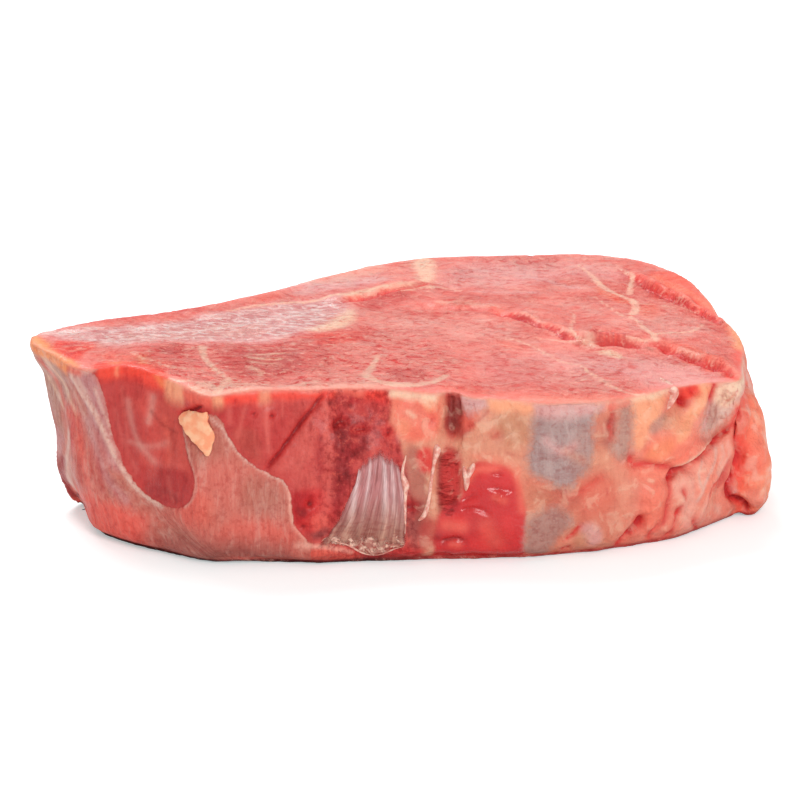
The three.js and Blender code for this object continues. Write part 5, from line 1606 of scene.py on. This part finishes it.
sheen, fatty = m.stored("sheen"), m.stored("fat")
on_cut = m.times(cut, marble, m.maths("SUBTRACT", 1.0, torn_share))
seam_off = m.maths("ADD", m.stored("seam"), m.times(fray, 1.8))
patchy = m.step(m.node("TexNoise", Vector=place, Scale=0.35, Detail=3.0).outputs[0], 0.35, 0.6, 0.65, 1.0)
seam_share = m.times(cut, patchy, m.step(seam_off, 0.55, -0.4, 0.0, 0.95))
comb_share = m.times(m.stored("comb"), wrinkles["Dark"])
colour = m.layered(m.stored("paint", "Color"), [
    (m.times(on_cut, bundle["Dark"]), GRAIN_SHADE, "MULTIPLY"),
    (m.times(on_cut, bundle["Pale"], 0.7), PALE_THREAD),
    # Painted reflection: glints of the sky in the wet sheath on the left, pale streaks and darker gaps.
    (m.times(sheen, m.step(glints, 0.5, 0.4), 0.55), "painted_sheen_gap"),
    (m.times(sheen, m.step(glints, 0.51, 0.6), 0.75), "painted_sheen_white"),
    (seam_share, SEAM_FAT),
    (m.times(lively, streak["Dark"], 0.6), DEEP_SHADE, "MULTIPLY"),
    (m.times(lively, streak["Pale"], 0.2), "muscle_pale"),
    (m.times(lively, lively, m.step(specks, 0.5, 0.38), 0.6), DEEP_SHADE, "MULTIPLY"),
    (m.times(lively, lively, m.step(specks, 0.54, 0.66), 0.3), "salmon"),
    (m.times(torn_share, ribs["Dark"], 0.7), "rose_red"),
    (m.times(torn_share, ribs["Pale"], 0.6), "cream_rose"),
    (m.times(fatty, m.step(clouds, 0.5, 0.36, 0.0, 0.22)), SHADE, "MULTIPLY"),
    (m.times(fatty, m.step(clouds, 0.52, 0.66, 0.0, 0.24)), "cream"),
    (comb_share, DEEP_SHADE, "MULTIPLY"),
])

film_edge = m.maths("ADD", m.stored("film"), m.times(fray, 1.2))
silver_edge = m.maths("ADD", m.stored("silver"), m.times(fray, 3.0))
film_mask = m.step(film_edge, -0.15, 0.15)
silver_mask = m.step(silver_edge, -1.7, 1.3)
veiled = m.maths("MAXIMUM", film_mask, silver_mask)
veil_colour = m.layered(m.stored("veil", "Color"), [
    (m.times(stretch["Dark"], film_mask, 0.5), SHADE, "MULTIPLY"),
    (m.times(stretch["Pale"], film_mask, 0.25), "film_white"),
    (m.times(m.step(specks, 0.52, 0.36), 0.5), SHADE, "MULTIPLY"),
    (m.times(silver_mask, sheath["Pale"], 0.3), SILVER_FIBRE),
    (m.times(silver_mask, sheath["Dark"], 0.3), SHADE, "MULTIPLY"),
    (m.times(silver_mask, wrinkles["Dark"], 0.3), SHADE, "MULTIPLY"),
])
veil_share = m.times(veiled, m.maths("SUBTRACT", 1.0, cut))
m.feed(m.mix(veil_share, colour, veil_colour), shader.inputs["Base Color"])

height = m.times(on_cut, bundle["Height"], 2.8)
for parts in (
    (sheen, m.maths("SUBTRACT", glints, 0.5), 3.0),
    (lively, streak["Height"], 1.8),
    (lively, fray, 0.4),
    (film_mask, stretch["Height"], 2.0),
    (fatty, m.maths("SUBTRACT", clouds, 0.5), 2.0),
    (fatty, fray, 1.0),
    (torn_share, ribs["Height"], 2.0),
    (silver_mask, sheath["Height"], 1.0),
    (veiled, 0.4),
    (seam_share, 0.25),
    (comb_share, -0.8),
    (damp["Height"], 0.7),
):
    height = m.maths("ADD", height, m.times(*parts))
bump = m.node("Bump", Height=height, Distance=0.35 * MM, Strength=1.0)
m.feed(bump.outputs["Normal"], shader.inputs["Normal"])
wet_share = m.stored("wet")
m.feed(m.times(damp["Roughness"], m.step(wet_share, 0.0, 1.0, 1.0, 0.7)), shader.inputs["Roughness"])
gloss = m.maths("MAXIMUM", m.times(wet_share, 0.5), m.times(damp["Pools"], 0.12))
m.feed(gloss, shader.inputs["Coat Weight"])
fleshy(shader, 0.12, 0.8)
steak.data.materials.append(meat)
print("nodes in the meat material:", len(meat.node_tree.nodes))

# %% [markdown]
# Some tissue is loose: a pleated fan of silverskin, a chip of fat, threads, a crumpled film at the foot.
# These are modelled as pieces of their own, in front of the steak, and then laid on it. The helpers make
# one object the one that operators work on, open edit mode with chosen points selected, and tell where
# the steak's side lies behind a place.


# %% Modelling helpers
def only(obj):
    """Deselects everything else and makes this object active."""
    bpy.ops.object.select_all(action="DESELECT")
    obj.select_set(True)
    bpy.context.view_layer.objects.active = obj


def choose(obj, chosen):
    """Opens edit mode with only these points selected."""
    bpy.ops.object.mode_set(mode="OBJECT")
    shape = obj.data
    shape.polygons.foreach_set("select", np.zeros(len(shape.polygons), bool))
    shape.edges.foreach_set("select", np.zeros(len(shape.edges), bool))
    shape.vertices.foreach_set("select", chosen)
    bpy.ops.object.mode_set(mode="EDIT")
    bpy.ops.mesh.select_mode(type="VERT")


skin = BVHTree.FromPolygons(co.tolist(), [tuple(p.vertices) for p in mesh.polygons])
WAITING = -80.0  # where pieces wait in front of the steak, in mm


def side_at(across, height):
    """How far back the steak's front side lies at this place, in millimetres."""
    hit, _, _, _ = skin.ray_cast(Vector((across, WAITING, height)), Vector((0, 1, 0)))
    return hit.y


def lay_on_steak(piece, gap):
    """Pushes a piece straight back until it is this many millimetres from the steak."""
    bpy.ops.object.mode_set(mode="OBJECT")
    only(piece)
    apply_modifier(piece, "SHRINKWRAP", target=steak, wrap_method="PROJECT", use_project_y=True,
                   use_positive_direction=True, offset=gap * MM)


print("side at x 0, z 20, mm:", round(side_at(0, 20), 1))

# %% [markdown]
# The fan is a torn sheet of silverskin whose fibres still hold together at the top and spread at the
# foot. A grid has the right build for it: each column becomes a fibre strand of its own length, and each
# row is made as wide as the fan is there. Broad bands of it stand out like the pleats of a curtain. They
# are pulled out in thin terraces, which a subdivision rounds off. Two attributes keep how pale each point
# is, partly the fibres' own white and partly painted light on the pleats, and how near it lies to the
# torn border, where the sheet thins out to nothing.

# %% Silverskin fan
FAN_COLUMNS, FAN_ROWS = 60, 26
FAN_FOOT, FAN_TOP = 4.6, 24.6
FAN_LEFT = [(-9.6, 26), (-10, 23), (-10.6, 20.6), (-11.6, 18), (-12.6, 15.6), (-13.4, 13.4), (-14.6, 10.6),
            (-16.4, 8), (-18.6, 4.6)]
FAN_RIGHT = [(-0.4, 26), (0.3, 22), (0.9, 18.5), (1.3, 15), (1.3, 12), (0.9, 4.6)]
FAN_CREST = [
    # share of the way across, height
    (0, 20.6), (0.06, 22), (0.16, 23.4), (0.3, 24), (0.4, 24.4), (0.48, 25.3), (0.53, 26), (0.58, 25.2),
    (0.64, 24.2), (0.76, 23.8), (0.84, 23.4), (0.9, 22.6), (0.96, 21.4), (1, 19)]
BANDS = [
    # place across the fan at its top and at its foot, half its width, how pale it is (partly painted light on
    # the pleat), how far it stands out
    (-0.1, 0.12, 0.03, 0.45, 0.15), (0.04, 0.3, 0.05, 1, 0.4), (0.3, 0.43, 0.035, 0.6, 0.2),
    (0.59, 0.72, 0.05, 1, 0.45), (0.74, 0.86, 0.05, 0.55, 0.2), (0.89, 0.94, 0.03, 0.5, 0.15),
]
TERRACE = 0.05  # height of a terrace, in mm


def add_sheet(name, columns, rows, foot):
    """An upright net one millimetre wide and high: the object, and each point's column and row."""
    bpy.ops.object.select_all(action="DESELECT")
    bpy.ops.mesh.primitive_grid_add(x_subdivisions=columns, y_subdivisions=rows, size=MM,
                                    location=(0, WAITING * MM, (foot + 0.5) * MM),
                                    rotation=(math.pi / 2, 0, 0))
    sheet = bpy.context.active_object
    sheet.name = name
    bpy.ops.object.transform_apply(location=True, rotation=True, scale=True)
    places = points_mm(sheet.data)
    column_of = np.round((places[:, 0] + 0.5) * columns).astype(int)
    return sheet, column_of, np.round((places[:, 2] - foot) * rows).astype(int)


def shape_sheet(sheet, column_of, row_of, foot, top, crest, left, right):
    """Gives each column its height and each row its width and its place."""
    columns, rows = column_of.max(), row_of.max()
    for column in range(columns + 1):
        tall_as = np.interp(column / columns, *np.transpose(crest)) - foot
        choose(sheet, column_of == column)
        bpy.ops.transform.resize(value=(1, 1, tall_as), center_override=(0, 0, foot * MM))
    for row in range(rows + 1):
        height = foot + (top - foot) * row / rows
        start, end = across_at(left, height), across_at(right, height)
        choose(sheet, row_of == row)
        bpy.ops.transform.resize(value=(end - start, 1, 1), center_override=(0, 0, 0))
        bpy.ops.transform.translate(value=((start + end) / 2 * MM, 0, 0))


fan_sheet, column_of, row_of = add_sheet("silverskin_fan", FAN_COLUMNS, FAN_ROWS, FAN_FOOT)
shape_sheet(fan_sheet, column_of, row_of, FAN_FOOT, FAN_TOP, FAN_CREST, FAN_LEFT, FAN_RIGHT)
lay_on_steak(fan_sheet, 0.15)
across, up = column_of / FAN_COLUMNS, row_of / FAN_ROWS
pale_and_lit_crests, stands_out = np.zeros((2, len(across)))
for at_top, shadow_at_foot, half, paleness, outward in BANDS:
    near_band = np.exp(-(((across - shadow_at_foot - (at_top - shadow_at_foot) * up) / half) ** 2))
    pale_and_lit_crests = np.maximum(pale_and_lit_crests, paleness * near_band)
    stands_out = np.maximum(stands_out, outward * near_band)
keep_number(fan_sheet.data, "crest", pale_and_lit_crests)
inward = np.min([across, 1 - across, 0.6 * (1 - up), 0.6 * up + 0.02 * across], axis=0)
keep_number(fan_sheet.data, "inward", inward)
for terrace in np.arange(TERRACE / 2, stands_out.max(), TERRACE):
    choose(fan_sheet, stands_out > terrace)
    bpy.ops.transform.translate(value=(0, -TERRACE * MM, 0))
bpy.ops.mesh.select_all(action="SELECT")
bpy.ops.transform.vertex_random(offset=0.12 * MM, uniform=0.6, seed=4)
bpy.ops.object.mode_set(mode="OBJECT")
apply_modifier(fan_sheet, "SUBSURF", levels=1, render_levels=1)
print("fan faces:", len(fan_sheet.data.polygons))

# %% [markdown]
# At the fan's foot the sheet ends in a thin, crumpled film that hangs down to a curved hem. It is a narrow
# net too. Its points are thrown about a little at random and then smoothed, as cling film would crumple.

# %% Foot film
FILM_COLUMNS, FILM_ROWS = 60, 12
FILM_TOP = 7.0
FILM_START, FILM_END = -15.8, 0.9
FILM_HEM = [
    # share of the way across, height
    (0, 5.4), (0.16, 5.1), (0.26, 4.6), (0.36, 3.4), (0.46, 2.6), (0.58, 2.4), (0.7, 2.8), (0.8, 4.1),
    (1, 4.9)]
foot_film, column_of, row_of = add_sheet("foot_film", FILM_COLUMNS, FILM_ROWS, FILM_TOP)
for column in range(FILM_COLUMNS + 1):
    hem = np.interp(column / FILM_COLUMNS, *np.transpose(FILM_HEM))
    choose(foot_film, column_of == column)
    bpy.ops.transform.resize(value=(1, 1, FILM_TOP - hem), center_override=(0, 0, (FILM_TOP + 1) * MM))
bpy.ops.mesh.select_all(action="SELECT")
bpy.ops.transform.translate(value=(0, 0, -MM))
bpy.ops.transform.resize(value=(FILM_END - FILM_START, 1, 1), center_override=(0, 0, 0))
bpy.ops.transform.translate(value=((FILM_START + FILM_END) / 2 * MM, 0, 0))
lay_on_steak(foot_film, 0.25)
across, up = column_of / FILM_COLUMNS, row_of / FILM_ROWS
keep_number(foot_film.data, "inward", np.minimum(np.minimum(across, 1 - across), 0.4 * (1 - up)))
bpy.ops.object.mode_set(mode="EDIT")
bpy.ops.mesh.select_all(action="SELECT")
bpy.ops.transform.vertex_random(offset=0.3 * MM, uniform=0.8, seed=7)
bpy.ops.object.mode_set(mode="OBJECT")
apply_modifier(foot_film, "SUBSURF", levels=1, render_levels=1)
print("film faces:", len(foot_film.data.polygons))

# %% [markdown]
# A chip of orange fat hangs where the membrane begins. Its outline is traced by extruding a single point
# from corner to corner and filling the ring. Poked, subdivided and laid on the side it gets its
# thickness, and a fine remesh with a little smoothing rounds its torn edge.

# %% Fat chip
CHIP = [
    (-47.8, 32), (-47, 32.7), (-46.2, 33), (-45.6, 33.5), (-44.6, 33.6), (-43.6, 34.1), (-42.4, 34.2),
    (-41.5, 34.6), (-41.3, 33.6), (-41.5, 32.6), (-40.9, 31.4), (-40.2, 30.4), (-39.9, 29.4), (-40.1, 28.4),
    (-40.5, 27.6), (-40.6, 26.6), (-41.2, 25.2), (-41.9, 25.1), (-42.5, 26), (-43.1, 26.4), (-43.8, 27.2),
    (-44.7, 27.7), (-45.4, 28.6), (-46.3, 29.2), (-46.8, 30.2), (-47.5, 31)]


def traced(name, outline):
    """A flat face drawn by extruding one point from corner to corner."""
    (x0, z0), *corners = outline
    bpy.ops.object.select_all(action="DESELECT")
    bpy.ops.mesh.primitive_plane_add(size=MM, location=(x0 * MM, WAITING * MM, z0 * MM),
                                     rotation=(math.pi / 2, 0, 0))
    piece = bpy.context.active_object
    piece.name = name
    bpy.ops.object.transform_apply(location=True, rotation=True, scale=True)
    bpy.ops.object.mode_set(mode="EDIT")
    bpy.ops.mesh.select_mode(type="VERT")
    bpy.ops.mesh.select_all(action="SELECT")
    bpy.ops.mesh.merge(type="CENTER")
    for x1, z1 in corners:
        step = ((x1 - x0) * MM, 0, (z1 - z0) * MM)
        bpy.ops.mesh.extrude_region_move(TRANSFORM_OT_translate={"value": step})
        x0, z0 = x1, z1
    bpy.ops.mesh.select_all(action="SELECT")
    bpy.ops.mesh.edge_face_add()
    return piece


fat_chip = traced("fat_chip", CHIP)
bpy.ops.mesh.poke()
bpy.ops.mesh.subdivide(number_cuts=4)
lay_on_steak(fat_chip, 0.45)
apply_modifier(fat_chip, "SOLIDIFY", thickness=0.9 * MM, offset=0)
apply_modifier(fat_chip, "REMESH", mode="VOXEL", voxel_size=0.24 * MM)
apply_modifier(fat_chip, "SMOOTH", factor=0.5, iterations=3)
print("chip faces:", len(fat_chip.data.polygons))

# %% [markdown]
# Threads and drops of connective tissue hang on the side. Each starts as a small filled circle, which is
# extruded from place to place and resized there, so that it swells and thins out as it goes.

# %% Threads
THREADS = {
    # places from one end to the other: x, z, radius
    "thread_drop": [
        (7.4, 25.9, 0.2), (7.6, 25.2, 0.8), (7.5, 24.2, 0.9), (7.2, 23.2, 0.65), (6.9, 22, 0.4),
        (6.6, 20.2, 0.34), (6.2, 18, 0.36), (6, 16, 0.4), (5.7, 14.4, 0.44), (5.4, 13, 0.5),
        (5, 11.6, 0.6), (4.3, 10.6, 0.7), (3.6, 10, 0.3)],
    "thread_tear": [
        (13.2, 21.6, 0.3), (13.5, 20.4, 0.7), (13.9, 19.2, 0.85), (13.9, 17.8, 0.7), (13.7, 16.2, 0.25)],
    "thread_tear_2": [
        (15.4, 22.4, 0.2), (15.2, 21.6, 0.75), (14.6, 20.4, 0.85), (14.1, 19.2, 0.6), (13.9, 18.4, 0.2)],
    "thread_by_fan": [
        (0.9, 23.8, 0.12), (0.5, 22.6, 0.3), (0.1, 21, 0.3), (0.1, 19.4, 0.45), (0.6, 18.4, 0.85),
        (0.8, 17.4, 0.95), (0.8, 16.4, 0.5), (0.6, 14, 0.34), (0.7, 10, 0.3), (0.6, 7, 0.14)],
    "thread_hem": [
        (-14.6, 5.8, 0.15), (-13.1, 5.4, 0.6), (-11.4, 4.8, 0.4), (-9.6, 3.4, 0.4), (-8, 2.4, 0.5),
        (-5.9, 2.1, 0.55), (-4, 2.5, 0.45), (-2.6, 3.5, 0.4), (-1, 4.2, 0.35), (0.6, 4.5, 0.15)],
    "thread_loop": [
        (-3.4, 5.2, 0.08), (-3.2, 6.2, 0.18), (-2.2, 6.7, 0.16), (-1, 6.4, 0.2), (-0.2, 5.6, 0.2),
        (-0.9, 5, 0.16), (-2.2, 5.2, 0.08)],
    "thread_fringe": [
        (-17.4, 6, 0.08), (-16.2, 7.2, 0.22), (-15, 6.6, 0.24), (-13.6, 6.2, 0.3), (-12.6, 5.4, 0.28),
        (-11.6, 5.8, 0.1)],
    "thread_curl": [
        (57.8, 34.2, 0.3), (58.8, 34, 0.9), (59.5, 33.2, 1.1), (59.3, 32.2, 1.1), (58.7, 31.2, 0.95),
        (58, 30.4, 0.8), (57.6, 29.9, 0.3)],
    "thread_curl_top": [(56.6, 34.4, 0.2), (57.4, 34.2, 0.7), (58.2, 33.6, 0.8), (58.6, 32.8, 0.3)],
    "thread_corner": [(73.9, 33, 0.12), (73.6, 31.4, 0.26), (73.3, 29.6, 0.22), (73.1, 27.4, 0.08)],
}
OUT = 0.1  # share of the radius by which a thread's axis stands out of the side
THREAD_SIDES = 10


def thread(name, places):
    """A thread drawn as a circle that is extruded from place to place and resized there."""
    spots = [Vector((a, side_at(a, b) - OUT * r, b)) * MM for a, b, r in places]
    bpy.ops.object.select_all(action="DESELECT")
    bpy.ops.mesh.primitive_circle_add(vertices=THREAD_SIDES, radius=places[0][2] * MM, fill_type="NGON",
                                      location=spots[0])
    piece = bpy.context.active_object
    piece.name = name
    bpy.ops.object.transform_apply(location=True, rotation=True, scale=True)
    bpy.ops.object.mode_set(mode="EDIT")
    bpy.ops.mesh.select_all(action="SELECT")
    for (_, _, before), (_, _, after), here, there in zip(places, places[1:], spots, spots[1:]):
        bpy.ops.mesh.extrude_region_move(TRANSFORM_OT_translate={"value": there - here})
        bpy.ops.transform.resize(value=(after / before,) * 3, center_override=there)
    bpy.ops.mesh.select_all(action="SELECT")
    bpy.ops.mesh.normals_make_consistent(inside=False)
    bpy.ops.object.mode_set(mode="OBJECT")
    apply_modifier(piece, "SUBSURF", levels=2, render_levels=2)
    return piece


threads = {name: thread(name, places) for name, places in THREADS.items()}
print("threads:", {name: len(piece.data.polygons) for name, piece in threads.items()})

# %% [markdown]
# Four finishes serve the loose pieces. Silverskin is grey-lilac with pale crests, partly painted light on
# its pleats, and fine fibres along them. Threads are pale pink, and loose fat is peach and waxy: both are
# plain tissue in two tones. The film is almost clear jelly, so most of it lets the steak show through,
# and it has a hard gloss. The two sheets fade out along their torn borders.

# %% Materials of the loose pieces
SHEET_BORDER = 0.08  # width of the border that fades out, as a share of the sheet


def thinned(recipe, shader, place, stretch, weakest):
    """Lets a sheet fade out raggedly along its border. Its thinnest parts show only as much as weakest."""
    drawn = recipe.scaled(place, 1.0, 1.0, stretch)
    ragged = recipe.node("TexNoise", Vector=drawn, Scale=0.8, Detail=4.0).outputs[0]
    wander = recipe.times(recipe.maths("SUBTRACT", ragged, 0.5), 0.12)
    inward = recipe.maths("ADD", recipe.stored("inward"), wander)
    shown = recipe.times(recipe.step(inward, 0.0, SHEET_BORDER), recipe.step(ragged, 0.35, 0.6, weakest, 1.0))
    recipe.feed(shown, shader.inputs["Alpha"])


def plain_tissue(name, scale, detail, steps, tones, bump_mm, roughness, coat, depth_mm):
    """A finish in two tones that follow a noise, with low bumps where it is pale."""
    finish, m, shader, place = new_finish(name)
    uneven = m.node("TexNoise", Vector=place, Scale=scale, Detail=detail).outputs[0]
    m.feed(m.mix(m.step(uneven, *steps), *(rgba(tint(*tone)) for tone in tones)), shader.inputs["Base Color"])
    m.feed(m.node("Bump", Height=uneven, Distance=bump_mm * MM).outputs["Normal"], shader.inputs["Normal"])
    shader.inputs["Roughness"].default_value = roughness
    shader.inputs["Coat Weight"].default_value = coat
    fleshy(shader, 0.2, depth_mm)
    return finish


pale_thread = plain_tissue("pale_thread", 0.9, 3.0, (0.35, 0.65), [(222, 142, 128), (246, 200, 182)],
                           0.15, 0.34, 0.3, 0.6)
loose_fat = plain_tissue("loose_fat", 0.5, 4.0, (0.36, 0.64), [(250, 162, 122), (255, 192, 152)],
                         0.25, 0.42, 0.15, 0.8)

silverskin, m, shader, place = new_finish("silverskin")
sheet_place = m.node("TexCoord").outputs["UV"]
fibres = add_group(m, "streaks", Vector=m.scaled(sheet_place, 34.0, 2.0, 1.0), Size=0.6)
crossing = m.node("TexNoise", Vector=m.scaled(place, 0.3, 0.3, 1.0), Scale=1.6, Detail=3.0).outputs[0]
height_share = m.node("SeparateXYZ", _0=sheet_place).outputs["Y"]
up_the_fan = m.step(height_share, 0.1, 0.7)
colour = m.mix(up_the_fan, rgba(tint(162, 100, 88)), rgba(tint(194, 120, 120)))
pale = m.mix(up_the_fan, rgba(tint(214, 162, 140)), rgba(tint(246, 214, 212)))
# The crests are lighter, partly the fibres' own white and partly painted light on the pleats.
lightness = m.maths("ADD", m.times(m.stored("crest"), 0.85), m.step(fibres["Pale"], 0.0, 1.0, 0.04, 0.4))
low_marks = m.times(m.step(crossing, 0.52, 0.4), m.step(height_share, 0.5, 0.1, 0.0, 0.6))
colour = m.layered(colour, [
    (lightness, pale),
    (m.times(fibres["Dark"], 0.6), rgba(tint(138, 76, 70))),
    (low_marks, SHADE, "MULTIPLY"),
])
m.feed(colour, shader.inputs["Base Color"])
height = m.maths("ADD", m.times(fibres["Height"], 2.4), m.times(crossing, 0.5))
m.feed(m.node("Bump", Height=height, Distance=0.2 * MM).outputs["Normal"], shader.inputs["Normal"])
shader.inputs["Roughness"].default_value = 0.4
shader.inputs["Coat Weight"].default_value = 0.15
thinned(m, shader, place, 0.3, 0.85)
fleshy(shader, 0.08, 0.5)

jelly, m, shader, place = new_finish("jelly")
tone = m.node("TexNoise", Vector=place, Scale=0.6, Detail=4.0, Distortion=1.0).outputs[0]
colour = m.mix(m.step(tone, 0.4, 0.62), rgba(tint(186, 116, 102)), rgba(tint(244, 200, 178)))
m.feed(colour, shader.inputs["Base Color"])
shader.inputs["Roughness"].default_value = 0.3
shader.inputs["Coat Weight"].default_value = 0.5
thinned(m, shader, place, 1.0, 0.15)
fleshy(shader, 0.1, 0.5)

loose = {fan_sheet: silverskin, foot_film: jelly, fat_chip: loose_fat}
loose.update({piece: pale_thread for piece in threads.values()})
for piece, finish in loose.items():
    piece.data.materials.clear()
    piece.data.materials.append(finish)
    only(piece)
    bpy.ops.object.shade_smooth()
print("loose pieces:", len(loose))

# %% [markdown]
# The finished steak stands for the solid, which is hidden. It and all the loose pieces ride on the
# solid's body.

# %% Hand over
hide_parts("steak")
for piece in (steak, *loose):
    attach(piece, "root")
